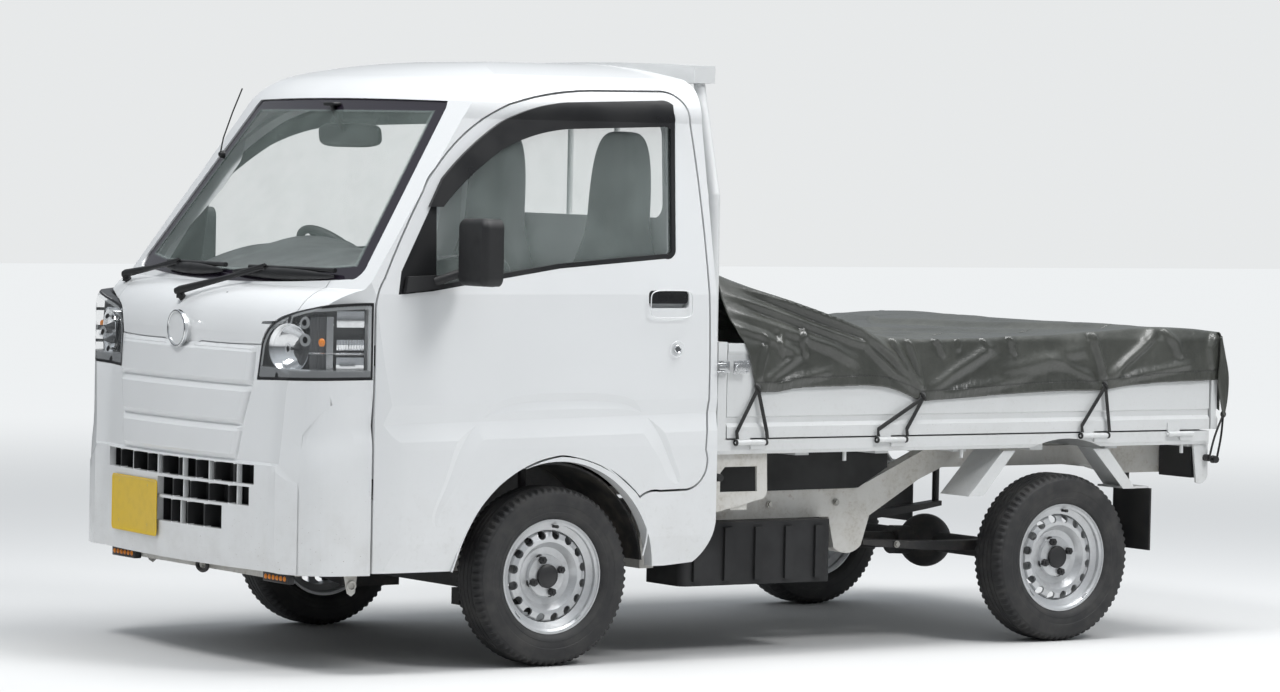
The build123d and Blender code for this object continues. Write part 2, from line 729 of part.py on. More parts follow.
def front_suspension():
    """Cross-member, lower arms, struts and the steering rack."""
    member = block((-45.0, 45.0), (-345.0, 345.0), (196.0, 250.0))
    parts = [member]
    for side in (1, -1):
        y = side * KINGPIN_Y
        arm = upward(outline((-90.0, side * 330.0), (90.0, side * 330.0), (22.0, side * 560.0),
                             (18.0, y), ((0.0, y + side * 18.0), (-18.0, y)), (-22.0, side * 560.0)), 150.0, 172.0)
        lug = block((-90.0, 90.0), (min(side * 300, side * 345), max(side * 300, side * 345)), (150.0, 200.0))
        foot = block((-20.0, 20.0), (min(side * 515, side * 618), max(side * 515, side * 618)), (369.0, 386.0))
        tube = rod((0, side * 535.0, 358.0), (0, side * 535.0, 500.0), 22.0)
        strut = rod((0, side * 535.0, 500.0), (0, side * 535.0, 587.4), 12.0)
        bore = rod((0, y, 100.0), (0, y, 420.0), KINGPIN + PIN_FIT)
        parts.append((arm + lug) - bore)
        parts.append((foot + tube + strut) - bore)
    whole = parts[0]
    for part in parts[1:]:
        whole = whole + part
    rack = rod((-130.0, -330.0, 236.0), (-130.0, 330.0, 236.0), 20.0)
    bridge = block((-150.0, -44.0), (-200.0, 200.0), (216.0, 236.0))
    return whole + rack + bridge


def chassis_frame():
    """Box rails with the kick-up over the rear axle, cross-members and the pierced side panel."""
    rails = []
    front = outline((-480.0, FLOOR_Z - 62.0), (750.0, FLOOR_Z - 62.0), (FRAME_TIP_X, FLOOR_Z - 40.0),
                    (FRAME_TIP_X, FLOOR_Z), (-480.0, FLOOR_Z))
    rear = outline((-430.0, 318.0), (-480.0, 300.0), (-520.0, 396.0), (-1126.0, 396.0), (-1148.0, 300.0),
                   ((-1200.0, 282.0), (-1252.0, 305.0)), (-1282.0, 396.0), (-1470.0, 504.0), (-1560.0, 540.0),
                   (-2120.0, 540.0), (-2240.0, 508.0), (-2486.0, 508.0), (-2486.0, RAIL_BOTTOM_Z - 9.0),
                   (-1500.0, RAIL_BOTTOM_Z - 9.0), (-1230.0, 482.0), (-430.0, 478.0))
    half = RAIL_WIDTH / 2
    for side in (1, -1):
        y = side * FRONT_RAIL_Y
        rails.append(across(front, y - half, y + half))
        y = side * REAR_RAIL_Y
        rails.append(across(rear, y - half, y + half))
    # columns: front x, rear x, low z, high z, half length
    members = (
        (FRAME_TIP_X, FRAME_TIP_X - 45.0, 258.0, 320.0, 440.0),
        (-430.0, -480.0, 258.0, 320.0, 525.0),
        (-1150.0, -1210.0, 396.0, 460.0, 490.0),
        (-2240.0, -2290.0, 520.0, 580.0, 490.0),
    )
    for ahead, behind, low, high, reach in members:
        rails.append(block((behind, ahead), (-reach, reach), (low, high)))
    frame = rails[0]
    for piece in rails[1:]:
        frame = frame + piece
    panel = outline((-566.0, RAIL_BOTTOM_Z), (-765.0, RAIL_BOTTOM_Z), (-768.0, 505.0), ((-762.0, 480.0), (-742.0, 470.0)),
                    (-566.0, 431.0))
    window = outline((-612.0, 570.0), (-729.0, 570.0), (-731.0, 495.0), (-596.0, 495.0), (-596.0, 552.0))
    plate = across(panel, PANEL_Y, PANEL_Y + 8.0) - across(window, 600.0, 800.0)
    tie = block((-700.0, -640.0), (REAR_RAIL_Y, PANEL_Y + 1.0), (440.0, 466.0))
    frame = frame + plate + mirrored(plate) + tie + mirrored(tie)
    eye = Pos(FRAME_TIP_X + 20.0, 69.0, 274.0) * Rot(0, 90, 0) * Torus(20.0, 5.5)
    shank = block((FRAME_TIP_X - 5.0, FRAME_TIP_X + 20.0), (40.0, 56.0), (262.0, 290.0))
    return frame + (shank + eye)


def cab_floor():
    """Footwell, kick panels, wheel houses and seat platform, with the door hinge arms."""
    sheet = FLOOR_SHEET
    half = 625.0
    foot = block((330.0, TOE_X), (-half, half), (FLOOR_Z, FLOOR_Z + sheet))
    riser = across(outline((330.0, FLOOR_Z), (336.0, FLOOR_Z), (306.0, PLATFORM_Z), (300.0, PLATFORM_Z)), -half, half)
    deck = block((-508.0, 306.0), (-half - 55.0, half + 55.0), (PLATFORM_Z - sheet, PLATFORM_Z))
    back = block((-508.0, -508.0 + sheet), (-half - 55.0, half + 55.0), (484.0, PLATFORM_Z))
    pan = (foot & cab_form(WALL + 2.0)) + riser + deck + back
    toe = block((TOE_X - sheet, TOE_X), (-400.0, 400.0), (FLOOR_Z, 878.0))
    pan = pan + toe
    for side in (1, -1):
        kick = block((330.0, 640.0), (min(side * 613, side * half), max(side * 613, side * half)), (FLOOR_Z, 1000.0))
        pan = pan + kick
        for low in HINGE_LEVELS:
            arm_low = low + HINGE_CLEAR
            arm_high = low + HINGE_HEIGHT - HINGE_CLEAR
            y0 = side * (half - 2.0)
            y1 = side * HINGE_Y
            arm = block((HINGE_X - 7.0, HINGE_X + 7.0), (min(y0, y1), max(y0, y1)), (arm_low, arm_high))
            eye = rod((HINGE_X, y1, arm_low), (HINGE_X, y1, arm_high), HINGE_EYE)
            bore = rod((HINGE_X, y1, arm_low - 5), (HINGE_X, y1, arm_high + 5), HINGE_PIN + PIN_FIT)
            pan = pan + ((arm + eye) - bore)
    return pan


def radiator():
    """Radiator and condenser as one ribbed slab on the frame's front member."""
    slab = block((TOE_X + 8.0, TOE_X + 44.0), (-450.0, 450.0), (FLOOR_Z + SEAT_FIT, 600.0))
    for z in (342.0, 540.0):
        slab = slab + block((TOE_X + 44.0, TOE_X + 52.0), (-440.0, 440.0), (z, z + 16.0))
    return slab


def wheel_house(side):
    """Curved liner over a front wheel."""
    centre = Pos(0, 0, TYRE_RADIUS) * Rot(90, 0, 0)
    band = centre * (Cylinder(332.5, 2000.0) - Cylinder(326.0, 2100.0))
    keep = block((-400.0, 400.0), (430.0, 684.0), (300.0, 700.0))
    return band & keep


def dashboard():
    """Dashboard with its hood over the dials and the column's sleeve."""
    face = outline((440.0, 740.0), (415.0, 1010.0), ((430.0, 1082.0), (500.0, 1092.0)), (800.0, 1092.0),
                   (800.0, 880.0), (620.0, 880.0), (590.0, 740.0))
    body = across(face, -600.0, 600.0) & cab_form(WALL + 1.0)
    hump = across(outline((400.0, 1040.0), (425.0, 1130.0), ((470.0, 1140.0), (540.0, 1092.0)), (560.0, 1040.0)),
                  -520.0, -180.0)
    body = body + hump
    sleeve = rod(column_point(40.0), column_point(520.0), 24.0)
    bore = rod(column_point(20.0), column_point(90.0), STEER_SHAFT + PIN_FIT)
    return (body + sleeve) - bore


COLUMN_TILT = 45.0
WHEEL_X = 97.0
WHEEL_Z = 1125.0
SEAT_Y = 350.0
STEER_RADIUS = 185.0
STEER_SHAFT = 10.0


def column_point(distance):
    """Point on the steering column, down from the wheel's middle."""
    tilt = math.radians(COLUMN_TILT)
    return (WHEEL_X + distance * math.cos(tilt), -SEAT_Y, WHEEL_Z - distance * math.sin(tilt))


def steering_wheel():
    """Two-spoke wheel on its shaft."""
    plane = Plane(origin=column_point(0.0), x_dir=(0, 1, 0), z_dir=Vector(*column_point(0.0)) - Vector(*column_point(1.0)))
    ring = Torus(STEER_RADIUS - 13.0, 13.0)
    hub = Cylinder(52.0, 34.0)
    spokes = Box(2 * STEER_RADIUS - 30.0, 34.0, 14.0)
    lower = Pos(0, -STEER_RADIUS / 2, 0) * Box(34.0, STEER_RADIUS - 20.0, 14.0)
    shaft = Pos(0, 0, -45.0) * Cylinder(STEER_SHAFT, 86.0)
    return plane * (ring + hub + spokes + lower + shaft)


def seats():
    """Two high-backed seats on their bases."""
    found = []
    for side in (1, -1):
        y = side * SEAT_Y
        cushion = across(outline((-430.0, 640.0), (40.0, 640.0), (60.0, 760.0), ((0.0, 800.0), (-60.0, 796.0)),
                                 (-430.0, 770.0)), y - 240.0, y + 240.0)
        base = block((-400.0, 0.0), (y - 200.0, y + 200.0), (PLATFORM_Z, 640.0))
        back = along(outline((y - 235.0, 700.0), (y + 235.0, 700.0), (y + 225.0, 1180.0),
                             ((y + 175.0, 1290.0), (y + 118.0, 1340.0)), (y + 112.0, 1500.0),
                             ((y, 1566.0), (y - 112.0, 1500.0)), (y - 118.0, 1340.0),
                             ((y - 175.0, 1290.0), (y - 225.0, 1180.0))), -600.0, 0.0)
        lean = across(outline((-500.0, 700.0), (-430.0, 700.0), (-392.0, 800.0), (-405.0, 1340.0), (-425.0, 1570.0),
                              (-485.0, 1570.0), (-503.0, 1340.0)))
        found.append(Pos(12.0, 0, 0) * (cushion + base + (back & lean)))
    return found


def bed_deck():
    """Deck plate with its side rails, cross bearers, rope pins and hinge eyes."""
    rear_x = TAILGATE_X + 6.0
    deck = block((rear_x, BED_FRONT_X), (-RAIL_Y, RAIL_Y), (DECK_Z - 8.0, DECK_Z - GATE_GAP))
    floor = block((rear_x, BED_FRONT_X - 29.0), (-FLOOR_HALF, FLOOR_HALF), (DECK_Z - 8.0, DECK_Z))
    side_face = outline((RAIL_Y - 40.0, DECK_Z - 8.0), (RAIL_Y, DECK_Z - 8.0), (RAIL_Y, 620.0), (RAIL_Y - 6.0, RAIL_BOTTOM_Z),
                        (RAIL_Y - 14.0, RAIL_BOTTOM_Z), (RAIL_Y - 10.0, 622.0), (RAIL_Y - 10.0, DECK_Z - 18.0),
                        (RAIL_Y - 40.0, DECK_Z - 18.0))
    rail = along(side_face, rear_x, BED_FRONT_X)
    arch = Pos(-WHEELBASE, 0, TYRE_RADIUS) * Rot(90, 0, 0) * Cylinder(374.0, 1600.0)
    rail = rail - arch
    body = deck + floor + rail + mirrored(rail)
    for x in BEARERS:
        body = body + block((x - 25.0, x + 25.0), (-PANEL_Y, PANEL_Y), (BEARER_Z, DECK_Z - 8.0))
    tail = block((rear_x, rear_x + 8.0), (-RAIL_Y, RAIL_Y), (RAIL_BOTTOM_Z, DECK_Z - 8.0))
    body = body + tail
    for x in PIN_PLACES:
        pin = rod((x, 700.0, RAIL_BOTTOM_Z - 28.0), (x, 700.0, DECK_Z - 8.0), PIN_RADIUS)
        body = body + pin + mirrored(pin)
    corner = outline((-2424.0, RAIL_BOTTOM_Z + 4.0), (-2484.0, RAIL_BOTTOM_Z + 4.0), (-2486.0, 520.0),
                     ((-2470.0, 486.0), (-2440.0, 486.0)))
    plate = across(corner, 702.0, 710.0)
    body = body + plate + mirrored(plate)
    for x in GATE_HINGES:
        half = gate_eye(x - HINGE_HALF - 0.5, x - 0.5, fixed=True)
        body = body + half + mirrored(half)
    for y in TAIL_HINGES:
        body = body + tail_eye(y - HINGE_HALF - 0.5, y - 0.5, fixed=True)
    return body


FLOOR_HALF = 676.0
PANEL_Y = 692.0
BEARER_Z = 600.0
BEARERS = (-600.0, -900.0, -1200.0, -1500.0, -1800.0, -2100.0, -2440.0)
GATE_HINGES = (-684.0, -1208.0, -2002.0, -2353.0)
TAIL_HINGES = (-420.0, 420.0)
HINGE_HALF = 50.0
PIN_PLACES = (-1053.0, -1500.0, -2383.0)
PIN_RADIUS = 6.0


def gate_eye(x_from, x_to, fixed):
    """Half hinge of a side gate: an eye round the pin, with an arm to its piece."""
    eye = rod((x_from, GATE_HINGE_Y, GATE_HINGE_Z), (x_to, GATE_HINGE_Y, GATE_HINGE_Z), KNUCKLE)
    if fixed:
        arm = block((x_from, x_to), (RAIL_Y - 2.0, GATE_HINGE_Y), (GATE_HINGE_Z - 20.0, GATE_HINGE_Z - 3.0))
    else:
        arm = block((x_from, x_to), (GATE_OUT_Y - 0.5, GATE_HINGE_Y - 3.0), (GATE_HINGE_Z + 2.0, DECK_Z + 22.0))
    body = eye + arm
    if fixed:
        body = body - rod((x_from - 1, GATE_HINGE_Y, GATE_HINGE_Z), (x_to + 1, GATE_HINGE_Y, GATE_HINGE_Z), GATE_PIN + PIN_FIT)
    return body


def tail_eye(y_from, y_to, fixed):
    """Half hinge of the tailgate."""
    eye = rod((TAIL_HINGE_X, y_from, GATE_HINGE_Z), (TAIL_HINGE_X, y_to, GATE_HINGE_Z), KNUCKLE)
    if fixed:
        arm = block((TAIL_HINGE_X, TAILGATE_X + 8.0), (y_from, y_to), (GATE_HINGE_Z - 20.0, GATE_HINGE_Z - 3.0))
    else:
        arm = block((TAIL_HINGE_X + 3.0, TAIL_X + 0.5), (y_from, y_to), (GATE_HINGE_Z + 2.0, DECK_Z + 22.0))
    body = eye + arm
    if fixed:
        body = body - rod((TAIL_HINGE_X, y_from - 1, GATE_HINGE_Z), (TAIL_HINGE_X, y_to + 1, GATE_HINGE_Z), GATE_PIN + PIN_FIT)
    return body


def gate_section(outside, inside):
    """Ribbed gate section: height up, thickness across; outside is the outer face."""
    z = DECK_Z
    step = (outside - inside) / GATE_WALL
    return outline((inside, z), (outside, z), (outside, z + 33.0), (outside - 8.0 * step, z + 45.0),
                   (outside - 8.0 * step, z + 61.0), (outside - 4.0 * step, z + 65.0),
                   (outside - 4.0 * step, GATE_TOP_Z - 34.0), (outside, GATE_TOP_Z - 24.0), (outside, GATE_TOP_Z),
                   (inside, GATE_TOP_Z))


GATE_FRONT_X = HEADBOARD_REAR_X - GATE_GAP
GATE_REAR_X = TAILGATE_X + GATE_GAP + 1.0


def gate_left():
    """Left drop side with its half hinges and pins."""
    gate = along(gate_section(GATE_OUT_Y, GATE_OUT_Y - GATE_WALL), GATE_REAR_X, GATE_FRONT_X)
    for x in GATE_HINGES:
        gate = gate + gate_eye(x, x + HINGE_HALF, fixed=False)
        gate = gate + rod((x - HINGE_HALF - 6.0, GATE_HINGE_Y, GATE_HINGE_Z), (x + HINGE_HALF + 6.0, GATE_HINGE_Y, GATE_HINGE_Z), GATE_PIN)
    return gate


def tailgate():
    """Tailgate with its half hinges and pins."""
    gate = across(gate_section(TAIL_X, TAILGATE_X), -GATE_OUT_Y, GATE_OUT_Y)
    for y in TAIL_HINGES:
        gate = gate + tail_eye(y, y + HINGE_HALF, fixed=False)
        gate = gate + rod((TAIL_HINGE_X, y - HINGE_HALF - 6.0, GATE_HINGE_Z), (TAIL_HINGE_X, y + HINGE_HALF + 6.0, GATE_HINGE_Z), GATE_PIN)
    return gate


def headboard():
    """Front wall of the bed with corner posts and the guard frame over it."""
    wall = block((BED_FRONT_X - 27.0, BED_FRONT_X - 4.0), (-RAIL_Y, RAIL_Y), (DECK_Z - GATE_GAP, GATE_TOP_Z + 4.0))
    frame = wall
    for side in (1, -1):
        y = side * 700.0
        frame = frame + block((HEADBOARD_REAR_X, BED_FRONT_X - 3.0), (y - 22.0, y + 22.0), (DECK_Z - GATE_GAP, GATE_TOP_Z + 4.0))
        lower = (POST_X, side * 666.0, GATE_TOP_Z - 60.0)
        knee = (POST_X, side * 660.0, 1380.0)
        upper = (POST_X, side * 566.0, 1722.0)
        frame = frame + rod(lower, knee, POST_RADIUS) + Pos(*knee) * Sphere(POST_RADIUS) + rod(knee, upper, POST_RADIUS)
        frame = frame + rod((POST_X, side * 130.0, GATE_TOP_Z - 20.0), (POST_X, side * 130.0, 1722.0), 9.0)
    beam = along(outline((-600.0, 1712.0), (600.0, 1712.0), (600.0, 1764.0), ((0.0, 1776.0), (-600.0, 1764.0))), POST_X - 36.0, POST_X + 40.0)
    mid = block((POST_X - 8.0, POST_X + 8.0), (-655.0, 655.0), (1290.0, 1306.0))
    return frame + beam + mid


POST_X = -581.0
POST_RADIUS = 17.0


LATCH_REAR_X = HEADBOARD_REAR_X + 1.0


def gate_latches():
    """Lever latches that hold the gates' front ends to the headboard."""
    keeper = block((LATCH_REAR_X, LATCH_REAR_X + 28.0), (GATE_OUT_Y + SEAT_FIT, GATE_OUT_Y + 6.0), (852.0, 888.0))
    lever = block((LATCH_REAR_X + 3.0, LATCH_REAR_X + 25.0), (GATE_OUT_Y + 6.0, GATE_OUT_Y + 12.0), (862.0, 878.0))
    return both(keeper + lever)


def stoppers():
    """Rubber stops under the side panels and on the rear corner plates."""
    front = rod((-579.0, PANEL_Y + 8.0 + SEAT_FIT, 540.0), (-579.0, PANEL_Y + 26.0, 540.0), 11.0)
    rear = rod((-2474.0, 710.0 + SEAT_FIT, 565.0), (-2474.0, 728.0, 565.0), 11.0)
    return both(front) + both(rear)


def tarp_top():
    """Top sheet from the guard frame down to the gates, with its upright skirts."""
    half = GATE_OUT_Y + TARP_STAND + TARP
    # columns: x, z of the sheet's underside
    ridge = ((-604.0, 1146.0), (-760.0, 1096.0), (-869.0, 1062.0), (-1089.0, 983.0), (-1180.0, 962.0),
             (-1667.0, 956.0), (-1988.0, 964.0), (-2225.0, 976.0), (TARP_REAR_X, TARP_TOP_Z))
    top = [(x, z) for x, z in ridge]
    face = outline(*top, *[(x, z + TARP) for x, z in reversed(top)])
    sheet = across(face, -half, half)
    skirt_face = outline(*top, (TARP_REAR_X, TARP_SPLIT_Z), (-657.0, TARP_SPLIT_Z))
    skirt = across(skirt_face, GATE_OUT_Y + TARP_STAND, half)
    rear = block((TARP_REAR_X, TARP_REAR_X + TARP), (-half, half), (TARP_SPLIT_Z, TARP_TOP_Z + TARP))
    return sheet + skirt + mirrored(skirt) + rear


TARP_REAR_X = TAIL_X - TARP_STAND - TARP


def band(x_top, z_top, hinge_x):
    """Rubber band from a grommet in the hem down to both ends of a hinge pin."""
    y = GATE_OUT_Y + TARP_STAND + TARP + 0.3
    found = []
    for end in (hinge_x - HINGE_HALF - 4.4, hinge_x + HINGE_HALF + 4.4):
        bend = (end, GATE_HINGE_Y + 4.0, GATE_HINGE_Z + 32.0)
        foot = (end, GATE_HINGE_Y + 5.0, GATE_HINGE_Z + 6.0)
        strand = rod((x_top, y + 3.0, z_top), bend, 2.5) + Pos(*bend) * Sphere(2.5)
        found.append(strand + rod(bend, foot, 2.5))
    loop = rod((x_top - 5.0, y + 3.0, z_top), (x_top + 5.0, y + 3.0, z_top), 3.0)
    return loop + found[0] + found[1]


def tarp_left():
    """Left drape of the tarpaulin with its wavy hem and rubber bands."""
    rear_x = TARP_REAR_X + TARP + 0.5
    hem = outline((-657.0, TARP_SPLIT_Z - 0.5), (-696.0, 795.0), ((-1000.0, 812.0), (-1170.0, 806.0)),
                  (-1289.0, 764.0), (-1358.0, 760.0), (-1867.0, 782.0), (-2042.0, 792.0), (-2498.0, 818.0),
                  (rear_x, 790.0), (rear_x, TARP_SPLIT_Z - 0.5))
    sheet = across(hem, GATE_OUT_Y + TARP_STAND, GATE_OUT_Y + TARP_STAND + TARP)
    bands = [band(x, z, hinge) for x, z, hinge in BANDS]
    return solids(sheet, *bands)


# columns: grommet x, grommet z, hinge x
BANDS = (
    (-706.0, 808.0, -684.0),
    (-1326.0, 778.0, -1208.0),
    (-2042.0, 806.0, -2002.0),
)


def tarp_rear():
    """Rear drape, hanging lower at the corners."""
    half = GATE_OUT_Y + TARP_STAND + TARP
    hem = outline((-half, TARP_SPLIT_Z - 0.5), (-half, 715.0), (-650.0, 760.0), ((0.0, 806.0), (650.0, 760.0)),
                  (half, 715.0), (half, TARP_SPLIT_Z - 0.5))
    return along(hem, TARP_REAR_X, TARP_REAR_X + TARP)


def rear_axle():
    """Rear axle tube with its final drive, leaf springs and the propeller shaft."""
    tube = rod((-WHEELBASE, -575.0, TYRE_RADIUS), (-WHEELBASE, 575.0, TYRE_RADIUS), 32.0)
    ends = rod((-WHEELBASE, -HALF_TRACK - SPINDLE_REACH, TYRE_RADIUS), (-WHEELBASE, HALF_TRACK + SPINDLE_REACH, TYRE_RADIUS), SPINDLE)
    drive = Pos(-WHEELBASE, 0, TYRE_RADIUS) * Sphere(86.0)
    nose = rod((-WHEELBASE, 0, TYRE_RADIUS), (-1760.0, 0, 268.0), 46.0)
    shaft = rod((-1770.0, 0, 268.0), (-486.0, 0, 300.0), 26.0)
    axle = tube + ends + drive + nose + shaft
    leaf = outline((-1260.0, 306.0), ((-WHEELBASE, 282.0), (-2330.0, 330.0)), (-2330.0, 346.0),
                   ((-WHEELBASE, 312.0), (-1260.0, 322.0)))
    for side in (1, -1):
        y = side * REAR_RAIL_Y
        spring = across(leaf, y - 26.0, y + 26.0)
        shackle = rod((-2322.0, y, 338.0), (-2322.0, y, 507.7), 12.0)
        axle = axle + spring + shackle
    return axle


CAB_MEMBER_X = -430.0
ENGINE_REAR_X = CAB_MEMBER_X + SEAT_FIT


def engine_block():
    """Engine and gearbox as one plain block."""
    return fillet(block((ENGINE_REAR_X, -62.0), (-210.0, 210.0), (262.0, 560.0)).edges().filter_by(Axis.Y), 30.0)


def fuel_tank():
    """Ribbed plastic tank under the left rail."""
    tank = block((-1085.0, -526.0), (400.0, 606.0), (206.0, 395.5))
    tank = fillet(tank.edges().filter_by(Axis.Z), 30.0)
    for index in range(5):
        x = -580.0 - 112.0 * index
        tank = tank + block((x - 14.0, x + 14.0), (590.0, 616.0), (220.0, 380.0))
    return tank


def splash_panels():
    """Dark panels above the rails, between the side panel and the rear wheel."""
    face = outline((-640.0, 479.0), (-1140.0, 483.0), (-1230.0, 484.0), (-1340.0, 545.0), (-1340.0, 599.0), (-640.0, 599.0))
    return both(across(face, 525.3, 535.0))


def exhaust():
    """Silencer and tail pipe on the right."""
    can = rod((-1080.0, -320.0, 330.0), (-680.0, -320.0, 330.0), 68.0)
    pipe = rod((-1070.0, -320.0, 330.0), (-1500.0, -320.0, 410.0), 18.0)
    lead = rod((-690.0, -300.0, 350.0), (-424.3, -150.0, 362.0), 18.0)
    return can + pipe + (lead - block((ENGINE_REAR_X - SEAT_FIT, 0.0), (-400.0, 0.0), (300.0, 500.0)))


def wheel_guards():
    """Slanted splash guards before and behind the rear wheels, with the flap hangers."""
    # columns: top front x, top rear x, bottom front x, bottom rear x
    x = -WHEELBASE
    ahead = outline((x + 239.0, 600.0), (x + 371.0, 461.0), (x + 313.0, 461.0), (x + 191.0, 600.0))
    behind = outline((x - 120.0, 600.0), (x - 246.0, 472.0), (x - 294.0, 472.0), (x - 180.0, 600.0))
    top = DECK_Z - 8.0 - SEAT_FIT
    inner_ahead = outline((x + 193.0, top), (x + 371.0, 461.0), (x + 363.0, 461.0), (x + 185.0, top))
    inner_behind = outline((x - 172.0, 600.0), (x - 286.0, 472.0), (x - 294.0, 472.0), (x - 180.0, 600.0))
    pieces = []
    for rim_face, web in ((ahead, inner_ahead), (behind, inner_behind)):
        reach = across(web, 560.0, 704.0) & block((-2400.0, -1400.0), (0.0, 704.0), (0.0, BEARER_Z))
        hanger = across(web, 560.0, 676.0)
        pieces.append(across(rim_face, 698.0, 704.0) + reach + hanger)
    pieces[1] = pieces[1] + block((x - 352.0, x - 250.0), (570.0, 700.0), (472.0, 478.0))
    return [both(piece) for piece in pieces]


def mud_flaps():
    """Rubber flaps behind the rear wheels."""
    x = -WHEELBASE
    return both(block((x - 352.0, x - 346.0), (532.0, 715.0), (275.0, 471.7)))


def tail_lamps():
    """Rear lamp housings under the tailgate."""
    lamp = block((TAIL_X + 26.0, TAIL_X + 78.0), (532.0, 690.0), (500.0, BEARER_Z - 0.3))
    return both(lamp)


def marker_lamps():
    """Amber lamp bars under the bumper."""
    # columns: right end y, left end y
    bars = ((420.0, 565.0), (-505.0, -360.0))
    return [block((FRAME_TIP_X + 0.3, FRAME_TIP_X + 25.0), (low, high), (252.0, 281.0)) for low, high in bars]


def wipers():
    """Two wiper arms with their blades parked along the windscreen's foot."""
    found = []
    for x, y, z, mid_y, tip_y in WIPERS:
        x = NOSE_CENTRE_X + math.sqrt((x - NOSE_CENTRE_X) ** 2 - y ** 2)
        root = (x + 14.0, y, z + 20.0)
        elbow = screen_point(mid_y, 1140.0, 20.0)
        tip = screen_point(tip_y, 1140.0, 11.0)
        start = screen_point(mid_y - 90.0, 1138.0, 11.0)
        base = rod((x - 6.0, y, z - 8.0), (x + 16.0, y, z + 23.0), 11.0) - cab_form(-SEAT_FIT)
        found.append(base + rod(root, elbow, 5.0) + rod(start, tip, 7.0)
                     + rod(elbow, screen_point(mid_y, 1139.0, 11.0), 5.0))
    return found


# columns: pivot x on the middle line, pivot y, pivot z, arm end y, blade tip y
WIPERS = ((766.0, -600.0, 1078.0, -290.0, 10.0), (808.0, -75.0, 1046.0, 240.0, 560.0))


def screen_point(y, z, out):
    """Point over the windscreen's face."""
    share = (z - BELT_Z) / (SCREEN_TOP_Z - BELT_Z)
    reach = SCREEN_BASE_X + (SCREEN_TOP_X - SCREEN_BASE_X) * share - NOSE_CENTRE_X + out
    return (NOSE_CENTRE_X + math.sqrt(reach ** 2 - y ** 2), y, z + 0.7 * out)


def build():
    """All sub-parts by name."""
    left_wheel = wheel_centre(0.0, 1)
    nodes = {
        "chassis_frame": chassis_frame(),
        "cab_floor": cab_floor() + wheel_house(1) + mirrored(wheel_house(1)),
        "cab_sides": cab_sides(),
        "cab_rear_wall": cab_rear_wall(),
        "cab_roof": cab_roof(),
        "hood_panel": hood_panel(),
        "front_bumper": front_bumper(),
        "headlamps": solids(headlamps()),
        "windscreen": windscreen(),
        "rear_window": rear_window(),
        "dashboard": dashboard(),
        "seats": solids(seats()),
        "wipers": solids(wipers()),
        "bed_deck": bed_deck(),
        "headboard": headboard(),
        "gate_latches": solids(gate_latches()),
        "stoppers": solids(stoppers()),
        "radiator": radiator(),
        "tail_lamps": solids(tail_lamps()),
        "marker_lamps": solids(marker_lamps()),
        "engine_block": engine_block(),
        "fuel_tank": fuel_tank(),
        "splash_panels": solids(splash_panels()),
        "exhaust": exhaust(),
        "rear_axle": rear_axle(),
        "front_suspension": front_suspension(),
        "wheel_guards": solids(*wheel_guards()),
        "mud_flaps": solids(mud_flaps()),
        "tarp_top": tarp_top(),
        "tarp_rear": tarp_rear(),
        "tailgate": tailgate(),
        "steering_wheel": steering_wheel(),
    }
    pairs = {
        "door": door_left(),
        "door_glass": window_pane(),
        "door_trim": solids(*door_trim()),
        "mirror": mirror_left(),
        "gate": gate_left(),
        "tarp": tarp_left(),
        "knuckle": knuckle(1),
        "tyre_front": tyre(left_wheel),
        "rim_front": rim(left_wheel, 1),
        "tyre_rear": tyre(wheel_centre(-WHEELBASE, 1)),
        "rim_rear": rim(wheel_centre(-WHEELBASE, 1), 1),
    }
    for name, piece in pairs.items():
        nodes[name + "_left"] = piece
        nodes[name + "_right"] = mirrored(piece)
    return nodes


ORIGIN_X = (NOSE_X + TAIL_HINGE_X - KNUCKLE) / 2


def main():
    os.makedirs("parts", exist_ok=True)
    for name, piece in build().items():
        export_step(solids(piece).moved(Location((-ORIGIN_X, 0, 0))), f"parts/{name}.step")


if __name__ == "__main__":
    main()
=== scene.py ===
"""Dressing of a small cab-over truck: paint, glass, tyres, tarpaulin and the small parts round its CAD frame.

Metres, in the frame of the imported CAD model: X forward, Y to the left, Z up, the floor at zero.
"""

import json
import logging
import math
from dataclasses import dataclass
from enum import Enum
from typing import Sequence

import bmesh
import bpy
import numpy as np
from mathutils import Matrix, Vector, noise
from mathutils.bvhtree import BVHTree
from mathutils.kdtree import KDTree

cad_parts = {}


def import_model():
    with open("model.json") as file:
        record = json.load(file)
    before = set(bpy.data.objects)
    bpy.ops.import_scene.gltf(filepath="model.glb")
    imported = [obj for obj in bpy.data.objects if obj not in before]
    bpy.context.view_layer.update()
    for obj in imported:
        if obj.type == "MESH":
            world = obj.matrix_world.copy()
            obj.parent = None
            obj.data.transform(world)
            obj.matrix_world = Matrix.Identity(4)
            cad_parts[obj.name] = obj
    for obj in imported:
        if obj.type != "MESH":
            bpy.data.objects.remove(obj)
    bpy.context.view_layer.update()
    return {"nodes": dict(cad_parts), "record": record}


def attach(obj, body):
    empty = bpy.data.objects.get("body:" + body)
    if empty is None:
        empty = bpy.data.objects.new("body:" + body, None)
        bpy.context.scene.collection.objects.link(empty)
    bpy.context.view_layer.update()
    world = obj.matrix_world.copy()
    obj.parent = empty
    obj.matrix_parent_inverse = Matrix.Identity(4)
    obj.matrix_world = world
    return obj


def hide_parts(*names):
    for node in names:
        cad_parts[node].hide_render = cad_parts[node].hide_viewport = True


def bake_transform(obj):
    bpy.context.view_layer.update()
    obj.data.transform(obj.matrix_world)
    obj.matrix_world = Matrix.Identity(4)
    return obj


log = logging.getLogger("truck")

Point = tuple[float, float, float]
Colour = tuple[float, float, float]
Form = bmesh.types.BMesh

